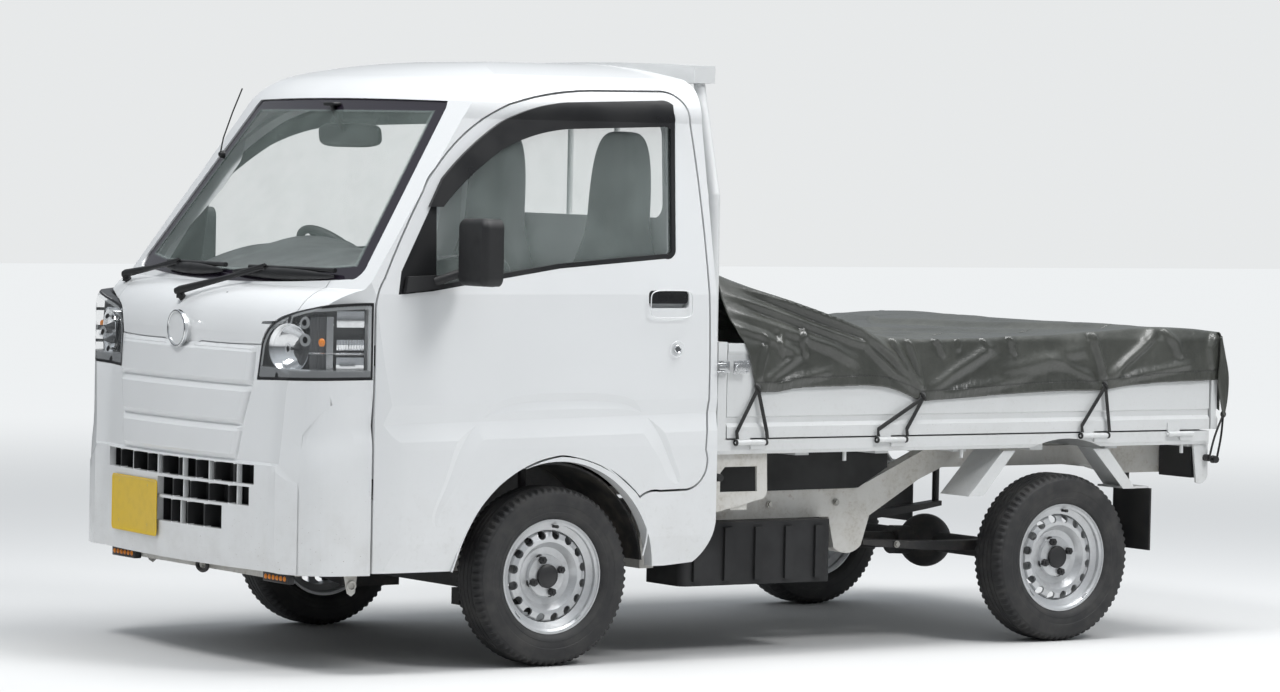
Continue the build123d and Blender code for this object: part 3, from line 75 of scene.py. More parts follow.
NOSE_TO_ORIGIN = 0.82625  # the front axle lies this far ahead of the frame's origin
NOSE_ARC_X = -2.4  # nose and windscreen are arcs about an upright line at this x, from the front axle
ALONG, ACROSS, UP = Vector((1, 0, 0)), Vector((0, 1, 0)), Vector((0, 0, 1))
ORIGIN = Vector((0, 0, 0))

WHITE: Colour = (0.76, 0.77, 0.775)
ROAD_FILM: Colour = (0.30, 0.27, 0.22)
BLACK: Colour = (0.012, 0.012, 0.013)


def at(x: float, y: float, z: float) -> Vector:
    """A point measured from the front axle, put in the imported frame."""
    return Vector((x + NOSE_TO_ORIGIN, y, z))


class Side(Enum):
    """Which flank of the truck a piece is on."""

    LEFT = 1.0
    RIGHT = -1.0

    @property
    def word(self) -> str:
        """The name's ending for this flank."""
        return self.name.lower()


class Link:
    """A socket in a shader, with arithmetic that adds Math nodes."""

    def __init__(self, shader: "Shader", socket: bpy.types.NodeSocket) -> None:
        """Keeps the socket and the shader that owns it."""
        self.shader = shader
        self.socket = socket

    def _maths(self, operation: str, *values: "Link | float") -> "Link":
        """One Math node over values or links."""
        return self.shader.add("ShaderNodeMath", {"operation": operation}, dict(enumerate(values)))

    def __add__(self, other: "Link | float") -> "Link":
        """Sum."""
        return self._maths("ADD", self, other)

    __radd__ = __add__

    def __sub__(self, other: "Link | float") -> "Link":
        """Difference."""
        return self._maths("SUBTRACT", self, other)

    def __rsub__(self, other: float) -> "Link":
        """Difference from a plain number."""
        return self._maths("SUBTRACT", other, self)

    def __mul__(self, other: "Link | float") -> "Link":
        """Product."""
        return self._maths("MULTIPLY", self, other)

    __rmul__ = __mul__

    def clipped(self) -> "Link":
        """The value held between nought and one."""
        return self.shader.add("ShaderNodeClamp", {}, {0: self})

    def largest(self, other: "Link | float") -> "Link":
        """The larger of two values."""
        return self._maths("MAXIMUM", self, other)

    def smallest(self, other: "Link | float") -> "Link":
        """The smaller of two values."""
        return self._maths("MINIMUM", self, other)

    def size(self) -> "Link":
        """The value without its sign."""
        return self._maths("ABSOLUTE", self)

    def between(self, low: float, high: float) -> "Link":
        """A smooth rise from nought at low to one at high."""
        values = {"Value": self, "From Min": low, "From Max": high}
        return self.shader.add("ShaderNodeMapRange", {"interpolation_type": "SMOOTHSTEP"}, values)

    def fall(self, low: float, high: float) -> "Link":
        """A smooth fall from one at low to nought at high."""
        return 1.0 - self.between(low, high)


class Shader:
    """A material's node tree, filled through one method."""

    def __init__(self, name: str) -> None:
        """Starts an empty material with a Principled shader and its output.

        Args:
            name: the material's name.
        """
        self.material = bpy.data.materials.new(name)
        self.material.use_nodes = True
        self.tree = self.material.node_tree
        self.tree.nodes.clear()
        self.output = self.tree.nodes.new("ShaderNodeOutputMaterial")
        self.surface = self.tree.nodes.new("ShaderNodeBsdfPrincipled")
        self.tree.links.new(self.surface.outputs[0], self.output.inputs["Surface"])
        self.place = self.add("ShaderNodeTexCoord", {}, {}, "Object")

    def add(self, kind: str, settings: dict, values: dict, result: str | int = 0) -> Link:
        """Adds a node.

        Args:
            kind: the node's type.
            settings: its properties, set before its sockets.
            values: numbers, colours or links by socket name or index.
            result: the output wanted.

        Returns:
            The wanted output, ready for arithmetic.
        """
        node = self.tree.nodes.new(kind)
        for key, value in settings.items():
            if key == "stops":
                self._stops(node, value)
            else:
                setattr(node, key, value)
        for key, value in values.items():
            self.feed(node.inputs[key], value)
        return Link(self, node.outputs[result])

    @staticmethod
    def _stops(node: bpy.types.Node, stops: Sequence[tuple[float, Colour]]) -> None:
        """Sets a colour ramp's stops."""
        ramp = node.color_ramp
        while len(ramp.elements) < len(stops):
            ramp.elements.new(0.5)
        for element, (place, colour) in zip(ramp.elements, stops):
            element.position = place
            element.color = (*colour, 1.0)

    def feed(self, socket: bpy.types.NodeSocket, value: "Link | float | Sequence[float]") -> None:
        """Links a socket or sets its number or colour."""
        if isinstance(value, Link):
            self.tree.links.new(value.socket, socket)
        elif isinstance(value, (int, float)):
            socket.default_value = value
        else:
            wanted = len(socket.default_value)
            socket.default_value = (*value, 1.0)[:wanted] if wanted == 4 else tuple(value)

    def set(self, **values: "Link | float | Sequence[float]") -> None:
        """Sets the Principled shader's sockets, named with underscores for spaces."""
        for key, value in values.items():
            self.feed(self.surface.inputs[key.replace("_", " ")], value)

    def root(self, value: Link) -> Link:
        """Square root."""
        return self.add("ShaderNodeMath", {"operation": "SQRT"}, {0: value})

    def stored(self, name: str) -> Link:
        """A number kept on the mesh's points."""
        return self.add("ShaderNodeAttribute", {"attribute_name": name}, {}, "Fac")

    def noise(self, scale: float, detail: float = 3.0, roughness: float = 0.55,
              stretch: Point = (1, 1, 1)) -> Link:
        """Noise in object space, about 0.5.

        Args:
            scale: features per metre.
            detail: octaves.
            roughness: share each octave keeps.
            stretch: scale of the place along each axis.
        """
        place = self.place
        if stretch != (1, 1, 1):
            place = self.add("ShaderNodeMapping", {}, {"Vector": place, "Scale": stretch})
        values = {"Vector": place, "Scale": scale, "Detail": detail, "Roughness": roughness}
        return self.add("ShaderNodeTexNoise", {}, values)

    def haze(self, scale: float) -> Link:
        """Slow smears, from nought to one."""
        return self.noise(scale, 4.0).between(0.35, 0.8)

    def axis(self, name: str) -> Link:
        """One coordinate of the object-space place: X, Y or Z."""
        return self.add("ShaderNodeSeparateXYZ", {}, {0: self.place}, name)

    def facing(self, name: str) -> Link:
        """One coordinate of the surface's outward direction."""
        normal = self.add("ShaderNodeNewGeometry", {}, {}, "Normal")
        return self.add("ShaderNodeSeparateXYZ", {}, {0: normal}, name)

    def mixed(self, share: Link | float, low: "Link | Colour", high: "Link | Colour") -> Link:
        """Colour between two colours."""
        values = {0: share, 6: low, 7: high}
        return self.add("ShaderNodeMix", {"data_type": "RGBA"}, values, 2)

    def bump(self, height: Link, distance: float, strength: float = 1.0, under: Link | None = None) -> Link:
        """Normal tipped by a height in metres."""
        values: dict = {"Height": height, "Distance": distance, "Strength": strength}
        if under is not None:
            values["Normal"] = under
        return self.add("ShaderNodeBump", {}, values)

    def peel(self) -> Link:
        """The faint waves of sprayed paint."""
        return self.bump(self.noise(420.0, 2.0), 0.00003, 0.35)


def darker(colour: Colour, share: float) -> Colour:
    """A share of a colour."""
    return tuple(c * share for c in colour)


@dataclass(frozen=True)
class Recipe:
    """A named material, whose shader each kind of finish fills in."""

    name: str

    def dress(self, s: Shader) -> None:
        """Fills in the shader."""
        raise NotImplementedError

    def material(self) -> bpy.types.Material:
        """Builds the material."""
        shader = Shader(self.name)
        self.dress(shader)
        return shader.material


@dataclass(frozen=True)
class Paint(Recipe):
    """Solid car paint under clear coat, with road film low down."""

    name: str = "white_paint"
    colour: Colour = WHITE
    film: Colour = ROAD_FILM
    film_top: float = 0.75
    film_share: float = 0.28
    roughness: float = 0.30
    coat: float = 0.6
    speck: float = 0.0

    def dress(self, s: Shader) -> None:
        """White paint, dirtier towards the road, with rust chips where they are wanted."""
        height = s.axis("Z").fall(0.28, self.film_top)
        cloud = s.noise(9.0, 5.0, 0.62).between(0.38, 0.78)
        splash = s.noise(70.0, 4.0, 0.6).between(0.52, 0.72)
        dirt = (height * (0.35 + 0.65 * cloud) * (0.5 + 0.5 * splash) * self.film_share).clipped()
        tint = s.noise(2.4, 2.0).between(0.35, 0.65)
        colour = s.mixed(dirt, s.mixed(tint, self.colour, darker(self.colour, 0.975)), self.film)
        if self.speck:
            chips = s.noise(240.0, 2.0, 0.5).between(0.70, 0.74) * height * self.speck
            colour = s.mixed(chips.clipped(), colour, (0.16, 0.10, 0.06))
        s.set(Base_Color=colour, Roughness=self.roughness + 0.35 * dirt, Coat_Weight=self.coat,
              Coat_Roughness=0.05, Normal=s.peel())


@dataclass(frozen=True)
class BumperPaint(Recipe):
    """The truck's paint, with painted shade: black on the faces inside the lower grille's openings."""

    name: str = "bumper_paint"
    arc_centre: float = NOSE_ARC_X + NOSE_TO_ORIGIN
    open_radius: float = 3.2560
    open_low: float = 0.332
    open_high: float = 0.612
    open_half: float = 0.512

    # columns: bottom z, top z, right end y, left end y of each row of openings
    ROWS = ((0.532, 0.584, -0.4480, 0.4360), (0.470, 0.520, -0.0880, 0.4140), (0.394, 0.458, -0.0880, 0.2810))

    def dress(self, s: Shader) -> None:
        """Paint with painted shade: black by depth behind the nose and over each row of openings."""
        ahead, across, height = s.axis("X") - self.arc_centre, s.axis("Y"), s.axis("Z")
        reach = s.root(ahead * ahead + across * across)
        # painted shade: faces deep behind the nose, inside the openings, are painted black
        deep = reach.fall(self.open_radius - 0.003, self.open_radius)
        rows = height.between(self.open_low, self.open_low + 0.004)
        rows = rows * height.fall(self.open_high, self.open_high + 0.004)
        dark = (deep * rows * across.size().fall(self.open_half, self.open_half + 0.004)).clipped()
        # painted shade: every face inside each row, including the front faces of the bars there, is painted
        # black
        for low, high, right, left in self.ROWS:
            inside = height.between(low, low + 0.001) * height.fall(high - 0.001, high)
            inside = inside * across.between(right, right + 0.001) * across.fall(left - 0.001, left)
            dark = dark.largest(inside)
        foot = height.fall(0.28, 0.70)
        cloud = s.noise(9.0, 5.0, 0.62).between(0.38, 0.78)
        dirt = (foot * (0.35 + 0.65 * cloud) * 0.26).clipped()
        chips = (s.noise(230.0, 2.0, 0.5).between(0.72, 0.76) * foot).clipped()
        painted = s.mixed(chips, s.mixed(dirt, WHITE, ROAD_FILM), (0.20, 0.14, 0.10))
        s.set(Base_Color=s.mixed(dark, painted, (0.013, 0.013, 0.014)),
              Roughness=0.30 + 0.3 * dirt + 0.25 * dark, Coat_Weight=0.6 - 0.6 * dark, Coat_Roughness=0.05,
              Normal=s.peel())


@dataclass(frozen=True)
class TailLens(Recipe):
    """Tail lamp: red towards the rear, a dark case on every other side."""

    name: str = "tail_lens"
    clear_end: float = 0.590
    amber_start: float = 0.600
    amber_end: float = 0.642

    def dress(self, s: Shader) -> None:
        """A lens by the way its faces look, in three fields across."""
        rear, aside = s.facing("X").fall(-0.72, -0.62), s.axis("Y").size()
        amber = aside.fall(self.amber_end, self.amber_end + 0.004)
        amber = (amber * aside.between(self.amber_start, self.amber_start + 0.004)).clipped()
        clear = (aside.fall(self.clear_end, self.clear_end + 0.004) * 0.9).clipped()
        lens = s.mixed(clear, s.mixed(amber, (0.40, 0.012, 0.012), (0.72, 0.22, 0.01)), (0.6, 0.6, 0.6))
        s.set(Base_Color=s.mixed(rear, (0.020, 0.020, 0.021), lens), Roughness=0.42 - 0.24 * rear,
              Normal=s.bump(s.noise(160.0, 2.0), 0.0003, 0.4))


@dataclass(frozen=True)
class FloorPan(Recipe):
    """Cab floor: body paint outside, black under-coat inside the wheel houses and below."""

    name: str = "floor_pan"
    inner_half: float = 0.700

    def dress(self, s: Shader) -> None:
        """Paint by place and by the way its faces look."""
        inner = s.axis("Y").size().fall(self.inner_half, self.inner_half + 0.008)
        dark = inner.largest(s.facing("Z").fall(-0.75, -0.55))
        cloud = s.noise(14.0, 5.0, 0.6).between(0.36, 0.74)
        base = s.mixed(cloud, (0.020, 0.020, 0.021), (0.085, 0.075, 0.062))
        dirt = (s.axis("Z").fall(0.28, 0.62) * (0.3 + 0.7 * cloud) * 0.5).clipped()
        paint = s.mixed(dirt, (0.74, 0.75, 0.755), (0.30, 0.26, 0.20))
        s.set(Base_Color=s.mixed(dark, paint, base), Roughness=0.34 + 0.35 * dark,
              Normal=s.bump(s.noise(60.0, 4.0), 0.0004, 0.4))


@dataclass(frozen=True)
class Moulding(Recipe):
    """Grained plastic, with a little dust in its upper faces."""

    name: str
    colour: Colour
    roughness: float = 0.55
    grain: float = 900.0
    depth: float = 0.00008
    dust: float = 0.10

    def dress(self, s: Shader) -> None:
        """The plastic."""
        dust = (s.facing("Z").between(0.2, 1.0) * s.haze(26.0) * self.dust).clipped()
        shade = s.noise(7.0, 3.0).between(0.3, 0.7)
        base = s.mixed(shade, self.colour, darker(self.colour, 0.82))
        s.set(Base_Color=s.mixed(dust, base, (0.33, 0.31, 0.28)), Roughness=self.roughness + 0.2 * shade,
              Normal=s.bump(s.noise(self.grain, 2.0), self.depth, 0.6))


@dataclass(frozen=True)
class RoadMetal(Recipe):
    """Under-body metal: paint or cast metal with mud, rust and a matt film."""

    name: str
    colour: Colour
    mud: Colour = (0.17, 0.14, 0.11)
    mud_share: float = 0.5
    rust: float = 0.15
    roughness: float = 0.55
    metallic: float = 0.0

    def dress(self, s: Shader) -> None:
        """The metal."""
        cloud = s.noise(12.0, 6.0, 0.65).between(0.36, 0.72)
        fine = s.noise(95.0, 4.0, 0.6).between(0.42, 0.7)
        dirt = (cloud * (0.4 + 0.6 * fine) * self.mud_share).clipped()
        patch = (s.noise(30.0, 5.0, 0.7).between(0.60, 0.72) * self.rust).clipped()
        colour = s.mixed(patch, s.mixed(dirt, self.colour, self.mud), (0.20, 0.075, 0.025))
        s.set(Base_Color=colour, Roughness=self.roughness + 0.3 * dirt, Normal=s.bump(fine, 0.0004, 0.5))
        if self.metallic:
            s.set(Metallic=self.metallic * (1.0 - 0.8 * dirt))


@dataclass(frozen=True)
class LampGlass(Recipe):
    """Clear glass that lets lamps through, with faint dust."""

    name: str = "lamp_glass"

    def dress(self, s: Shader) -> None:
        """A clear sheet with a reflecting skin."""
        s.set(Base_Color=(0.95, 0.97, 0.98), Roughness=0.03, Transmission_Weight=0.0, IOR=1.5)
        s.set(Alpha=0.10 + 0.03 * s.noise(14.0, 4.0).between(0.3, 0.8))


@dataclass(frozen=True)
class Rubber(Recipe):
    """Black rubber with a dry grey bloom."""

    name: str = "rubber"
    colour: Colour = (0.018, 0.018, 0.019)
    bloom: Colour = (0.075, 0.072, 0.068)
    share: float = 0.5
    roughness: float = 0.62

    def dress(self, s: Shader) -> None:
        """The rubber."""
        cloud = s.noise(16.0, 5.0, 0.6).between(0.35, 0.75)
        colour = s.mixed((cloud * self.share).clipped(), self.colour, self.bloom)
        s.set(Base_Color=colour, Roughness=self.roughness + 0.15 * cloud,
              Normal=s.bump(s.noise(260.0, 3.0), 0.0002, 0.5))


@dataclass(frozen=True)
class Canvas(Recipe):
    """Coated tarpaulin: a fine weave under a glossy film, chalky wear and a sewn hem."""

    name: str = "tarpaulin"
    colour: Colour = (0.040, 0.042, 0.036)
    worn: Colour = (0.088, 0.091, 0.080)
    hem: float = 0.034

    def dress(self, s: Shader) -> None:
        """The coated cloth, its hem by the distance that the mesh stores."""
        chart = s.add("ShaderNodeUVMap", {"uv_map": "hem"}, {})
        up = s.add("ShaderNodeSeparateXYZ", {}, {0: chart}, "Y")
        cloud = s.noise(4.0, 5.0, 0.62).between(0.34, 0.76)
        streak = s.noise(20.0, 4.0, 0.6, (1.0, 1.0, 0.25)).between(0.42, 0.78)
        worn = (0.55 * cloud + 0.35 * streak).clipped()
        doubled = up.fall(self.hem - 0.003, self.hem)
        seam = up.between(self.hem - 0.007, self.hem - 0.004) * doubled
        pucker = s.noise(85.0, 1.0, 0.4, (1.0, 0.2, 0.2)) * up.fall(0.012, 0.075)
        weave = s.noise(1400.0, 1.0, 0.4, (1.0, 0.12, 0.12)) + s.noise(1400.0, 1.0, 0.4, (0.12, 1.0, 1.0))
        drawn = s.bump(pucker, 0.0050, 0.8)
        crumple = s.bump(s.noise(30.0, 5.0, 0.6), 0.0045, 0.6, drawn)
        sewn = s.bump(doubled - 0.8 * seam, 0.0010, 0.8, crumple)
        colour = s.mixed(0.55 * seam, s.mixed(worn, self.colour, self.worn), (0.012, 0.012, 0.011))
        s.set(Base_Color=colour, Roughness=0.30 + 0.22 * worn, Coat_Weight=0.55 - 0.25 * worn,
              Coat_Roughness=0.22, Normal=s.bump(weave, 0.00012, 0.5, sewn))


@dataclass(frozen=True)
class Plated(Recipe):
    """Bright metal or lamp silvering with light smears."""

    name: str
    colour: Colour
    roughness: float = 0.08
    metallic: float = 1.0

    def dress(self, s: Shader) -> None:
        """The plating."""
        smear = s.haze(18.0)
        s.set(Base_Color=s.mixed(smear, self.colour, darker(self.colour, 0.82)),
              Roughness=self.roughness + 0.10 * smear, Metallic=self.metallic)


@dataclass(frozen=True)
class PlateEnamel(Recipe):
    """Yellow enamel of the bare plate, with road film and chips."""

    name: str = "plate_yellow"
    colour: Colour = (0.70, 0.47, 0.020)

    def dress(self, s: Shader) -> None:
        """The enamel."""
        film = (s.noise(26.0, 5.0, 0.6).between(0.42, 0.78) * 0.22).clipped()
        fleck = s.noise(300.0, 2.0).between(0.70, 0.76) * 0.5
        colour = s.mixed((film + fleck).clipped(), self.colour, (0.42, 0.30, 0.08))
        s.set(Base_Color=colour, Roughness=0.36 + 0.3 * film)


@dataclass(frozen=True)
class ScreenGlass(Recipe):
    """Windscreen: clear glass with a dark printed border, shaded by place."""

    name: str = "screen_glass"
    tint: Colour = (0.55, 0.66, 0.62)
    border: Colour = (0.018, 0.014, 0.022)
    top_z: float = 1.636
    foot_z: float = 1.108
    waist: tuple[float, float] = (0.6600, 1.16)

    def dress(self, s: Shader) -> None:
        """Glass and border from the distance to the screen's outline."""
        across, height = s.axis("Y").size(), s.axis("Z")
        half, level = self.waist
        side_edge = (half - (height - level) * 0.215 - across) * 0.5
        low_edge = height - (self.foot_z + 0.075 * across * across)
        near = side_edge.smallest(self.top_z - height).smallest(low_edge)
        dots = s.noise(900.0, 1.0).between(0.35, 0.65) * 0.004
        band = (near + dots).fall(0.026, 0.034)
        film = s.haze(10.0)
        s.set(Base_Color=s.mixed(band, self.tint, self.border), Roughness=0.015 + 0.03 * film, IOR=1.52,
              Alpha=(0.07 + 0.03 * film + 0.93 * band).clipped())


@dataclass(frozen=True)
class SideGlass(Recipe):
    """Side and rear glass, black over the doors' front quarters."""

    name: str = "side_glass"
    tint: Colour = (0.66, 0.76, 0.73)
    quarter_x: float = 1.2285

    def dress(self, s: Shader) -> None:
        """The glass with its black quarter by place."""
        line = s.axis("X") + 0.06 * (s.axis("Z") - 1.21)
        quarter = line.between(self.quarter_x, self.quarter_x + 0.002)
        s.set(Base_Color=s.mixed(quarter, self.tint, BLACK), Roughness=0.02 + 0.35 * quarter, IOR=1.5,
              Alpha=(0.09 + 0.03 * s.haze(10.0) + 0.91 * quarter).clipped())


@dataclass(frozen=True)
class LampCover(Recipe):
    """Clear lamp cover with a dark seal round it and a grey band along its foot."""

    name: str = "lamp_cover"
    foot_z: float = 0.864

    def dress(self, s: Shader) -> None:
        """The cover, from the distance to its edge that the mesh stores."""
        edge = s.stored("edge")
        seal = edge.fall(0.0065, 0.0080)
        lip = edge.fall(0.0150, 0.0175) * 0.35
        foot = s.axis("Z").fall(self.foot_z, self.foot_z + 0.008) * 0.8
        clear = s.mixed(foot, (0.60, 0.62, 0.63), (0.14, 0.145, 0.15))
        s.set(Base_Color=s.mixed(seal, clear, BLACK), Roughness=0.02 + 0.3 * seal, IOR=1.49,
              Alpha=(0.07 + 0.04 * s.haze(12.0) + 0.93 * seal.largest(lip).largest(foot)).clipped())


class Finishes:
    """Every material of the truck, made once."""

    RECIPES = (
        Paint(),
        Paint("bed_paint", (0.70, 0.71, 0.71), film_share=0.42, film_top=1.1, roughness=0.38, coat=0.3,
              speck=0.5),
        RoadMetal("frame_paint", (0.62, 0.61, 0.58), (0.33, 0.29, 0.23), 0.62, 0.35, 0.5),
        RoadMetal("axle_paint", (0.022, 0.022, 0.023), (0.10, 0.085, 0.07), 0.5, 0.12, 0.5),
        RoadMetal("engine_metal", (0.20, 0.20, 0.20), (0.06, 0.055, 0.05), 0.6, 0.08, 0.5, 0.5),
        RoadMetal("exhaust_steel", (0.24, 0.23, 0.22), (0.12, 0.09, 0.07), 0.5, 0.5, 0.45, 0.7),
        RoadMetal("wheel_silver", (0.58, 0.59, 0.60), (0.18, 0.16, 0.14), 0.30, 0.05, 0.32, 0.55),
        Rubber("tyre_rubber"),
        Rubber("flap_rubber", (0.014, 0.014, 0.015), (0.06, 0.056, 0.05), 0.4, 0.55),
        ScreenGlass(),
        BumperPaint(),
        TailLens(),
        FloorPan(),
        SideGlass(),
        LampCover(),
        PlateEnamel(),
        Plated("chrome", (0.80, 0.81, 0.82)),
        Plated("bright_grey", (0.55, 0.56, 0.57), 0.22, 0.8),
        Plated("bolt_zinc", (0.45, 0.44, 0.41), 0.34, 0.9),
        Moulding("lamp_shell", (0.045, 0.047, 0.050), 0.30, 300.0, 0.00005, 0.0),
        Moulding("lamp_grey", (0.085, 0.088, 0.092), 0.35, 300.0, 0.00005, 0.0),
        Moulding("grille_mesh", (0.014, 0.014, 0.015), 0.6, 500.0, 0.0002, 0.25),
        Moulding("amber_glow", (0.80, 0.24, 0.008), 0.22, 60.0, 0.0002, 0.0),
        Moulding("cap_black", (0.020, 0.020, 0.021), 0.42, 500.0, 0.00008, 0.22),
        LampGlass(),
        Moulding("amber_lens", (0.75, 0.26, 0.01), 0.25, 60.0, 0.0004, 0.02),
        Moulding("black_trim", (0.012, 0.012, 0.013), 0.26, 900.0, 0.00003, 0.03),
        Moulding("mirror_housing", (0.016, 0.016, 0.017), 0.48, 700.0, 0.0001, 0.12),
        Moulding("wiper_black", (0.010, 0.010, 0.011), 0.40, 700.0, 0.00006, 0.08),
        Moulding("dash_plastic", (0.115, 0.118, 0.122), 0.62, 600.0, 0.00015, 0.1),
        Moulding("wheel_plastic", (0.035, 0.035, 0.037), 0.5, 600.0, 0.00012, 0.05),
        Moulding("seat_cloth", (0.10, 0.10, 0.107), 0.9, 400.0, 0.00005, 0.0),
        Moulding("tank_plastic", (0.020, 0.020, 0.021), 0.6, 300.0, 0.0002, 0.25),
        Moulding("splash_plastic", (0.018, 0.018, 0.018), 0.65, 300.0, 0.0002, 0.25),
        RoadMetal("latch_plating", (0.55, 0.56, 0.57), (0.25, 0.23, 0.20), 0.25, 0.10, 0.25, 0.9),
        RoadMetal("radiator_black", (0.02, 0.02, 0.02), (0.08, 0.07, 0.06), 0.4, 0.05, 0.55),
        RoadMetal("eyelet_metal", (0.20, 0.20, 0.20), (0.06, 0.06, 0.05), 0.3, 0.10, 0.35, 0.8),
        Moulding("thread", (0.10, 0.10, 0.095), 0.7, 900.0, 0.00005, 0.0),
        Rubber("band_rubber", (0.012, 0.012, 0.012), (0.05, 0.048, 0.045), 0.3, 0.45),
        Canvas(),
    )

    def __init__(self) -> None:
        """Builds the materials by name."""
        self.known = {recipe.name: recipe.material() for recipe in self.RECIPES}

    def __getitem__(self, name: str) -> bpy.types.Material:
        """The material of that name."""
        return self.known[name]


@dataclass
class Studio:
    """Pale floor, soft light and the camera at the photograph's view."""

    eye: Point = (8.5113, 12.572, 1.509)
    azimuth: float = -123.9192
    elevation: float = -2.3057
    roll: float = 1.1746
    focal: float = 4865.40
    width: int = 1280
    floor_half: float = 40.0

    # columns: name, place, target, size, power of each square lamp
    LAMPS = (
        ("sky_panel", (-1.2, 1.2, 7.0), (-0.6, 0.2, 0.6), 3.0, 300.0),
        ("side_panel", (-2.5, 6.0, 7.0), (-0.4, 0.0, 0.8), 2.5, 290.0),
        ("front_panel", (4.4, 0.6, 7.2), (1.4, 0.0, 0.6), 2.0, 260.0),
    )

    def build(self) -> None:
        """Sets floor, world, lamps and camera."""
        self._floor()
        self._world()
        for row in self.LAMPS:
            self._lamp(*row)
        self._camera()

    def _camera(self) -> None:
        """Places the camera from its measured angles."""
        azimuth, elevation, roll = (math.radians(a) for a in (self.azimuth, self.elevation, self.roll))
        ahead = Vector((math.cos(elevation) * math.cos(azimuth), math.cos(elevation) * math.sin(azimuth),
                        math.sin(elevation)))
        right = ahead.cross(UP).normalized()
        up = right.cross(ahead)
        turned_right = math.cos(roll) * right + math.sin(roll) * up
        turned_up = -math.sin(roll) * right + math.cos(roll) * up
        data = bpy.data.cameras.new("view")
        data.sensor_width = 36.0
        data.lens = self.focal / self.width * data.sensor_width
        data.clip_end = 100.0
        camera = bpy.data.objects.new("view", data)
        turn = Matrix((turned_right, turned_up, -ahead)).transposed()
        camera.matrix_world = Matrix.Translation(self.eye) @ turn.to_4x4()
        bpy.context.scene.collection.objects.link(camera)
        bpy.context.scene.camera = camera
        bpy.context.scene.view_settings.view_transform = "Standard"

    def _floor(self) -> None:
        """A pale floor that fades to the world's shade in the distance."""
        mesh = bpy.data.meshes.new("floor")
        half = self.floor_half
        corners = [(-half, -half, 0), (half, -half, 0), (half, half, 0), (-half, half, 0)]
        mesh.from_pydata(corners, [], [(0, 1, 2, 3)])
        floor = bpy.data.objects.new("floor", mesh)
        bpy.context.scene.collection.objects.link(floor)
        s = Shader("floor")
        away = s.root(s.axis("X") * s.axis("X") + s.axis("Y") * s.axis("Y")).between(3.2, 12.0)
        seen = away * s.add("ShaderNodeLightPath", {}, {}, "Is Camera Ray")
        s.set(Base_Color=s.mixed(away, (0.66, 0.66, 0.655), (0.10, 0.10, 0.10)),
              Roughness=0.7 + 0.1 * s.noise(3.0),
              Emission_Color=s.mixed(seen, (0.0, 0.0, 0.0), (0.76, 0.775, 0.78)), Emission_Strength=1.0)
        floor.data.materials.append(s.material)

    def _world(self) -> None:
        """A sky paler towards the zenith, plain where the camera or glass sees it."""
        world = bpy.data.worlds.new("sky")
        bpy.context.scene.world = world
        world.use_nodes = True
        tree = world.node_tree
        tree.nodes.clear()
        kinds = ("OutputWorld", "LightPath", "Background", "TexCoord", "SeparateXYZ", "ValToRGB",
                 "Background", "Math", "MixShader")
        output, rays, light, way, split, ramp, seen, either, mix = (
            tree.nodes.new("ShaderNode" + kind) for kind in kinds)
        stops = ((0.0, (0.17, 0.18, 0.19, 1.0)), (0.8, (0.62, 0.66, 0.70, 1.0)))
        for element, (place, shade) in zip(ramp.color_ramp.elements, stops):
            element.position = place
            element.color = shade
        seen.inputs["Color"].default_value = (0.80, 0.815, 0.82, 1.0)
        for background in (light, seen):
            background.inputs["Strength"].default_value = 1.0
        either.operation = "MAXIMUM"
        for start, end in (
            (way.outputs["Generated"], split.inputs[0]), (split.outputs["Z"], ramp.inputs[0]),
            (ramp.outputs[0], light.inputs["Color"]), (rays.outputs["Is Camera Ray"], either.inputs[0]),
            (rays.outputs["Is Transmission Ray"], either.inputs[1]), (either.outputs[0], mix.inputs[0]),
            (light.outputs[0], mix.inputs[1]), (seen.outputs[0], mix.inputs[2]),
            (mix.outputs[0], output.inputs["Surface"]),
        ):
            tree.links.new(start, end)

    def _lamp(self, name: str, place: Point, target: Point, size: float, power: float) -> None:
        """One square area lamp turned to a target."""
        data = bpy.data.lights.new(name, "AREA")
        data.shape = "SQUARE"
        data.size = size
        data.energy = power
        lamp = bpy.data.objects.new(name, data)
        lamp.location = place
        lamp.rotation_euler = (Vector(target) - Vector(place)).to_track_quat("-Z", "Y").to_euler()
        bpy.context.scene.collection.objects.link(lamp)


@dataclass
class CadPieces:
    """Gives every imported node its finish."""

    finishes: Finishes

    SLOTS = {
        "body_paint": "white_paint", "lamp_lens": "lamp_glass",
        "wheel_paint": "wheel_silver", "seat_fabric": "seat_cloth", "tarp_fabric": "tarpaulin",
    }

    NODES = {
        "door_glass_left": "side_glass", "door_glass_right": "side_glass", "rear_window": "side_glass",
        "tail_lamps": "tail_lens", "cab_floor": "floor_pan",
    }

    def build(self, nodes: dict[str, bpy.types.Object], record: dict) -> None:
        """Assigns materials by the node's own name, or by the record's slot of each node."""
        slots = {row["node"]: row["material_slot"] for row in record["subparts"]}
        for name, node in nodes.items():
            slot = slots.get(name, "body_paint")
            material = self.finishes[self.NODES.get(name, self.SLOTS.get(slot, slot))]
            node.data.materials.clear()
            node.data.materials.append(material)


def smoothed(points: Sequence[Vector], steps: int) -> list[Vector]:
    """A curve through points, by Catmull-Rom spans.

    Args:
        points: the marks it passes.
        steps: samples in each span.

    Returns:
        The curve's points, both ends among them.
    """
    marks = [Vector(p) for p in points]
    padded = [2 * marks[0] - marks[1], *marks, 2 * marks[-1] - marks[-2]]
    curve = []
    for a, b, c, d in zip(padded, padded[1:], padded[2:], padded[3:]):
        for step in range(steps):
            t = step / steps
            curve.append(0.5 * (2 * b + (c - a) * t + (2 * a - 5 * b + 4 * c - d) * t * t
                                + (3 * b - a - 3 * c + d) * t ** 3))
    return [*curve, marks[-1]]


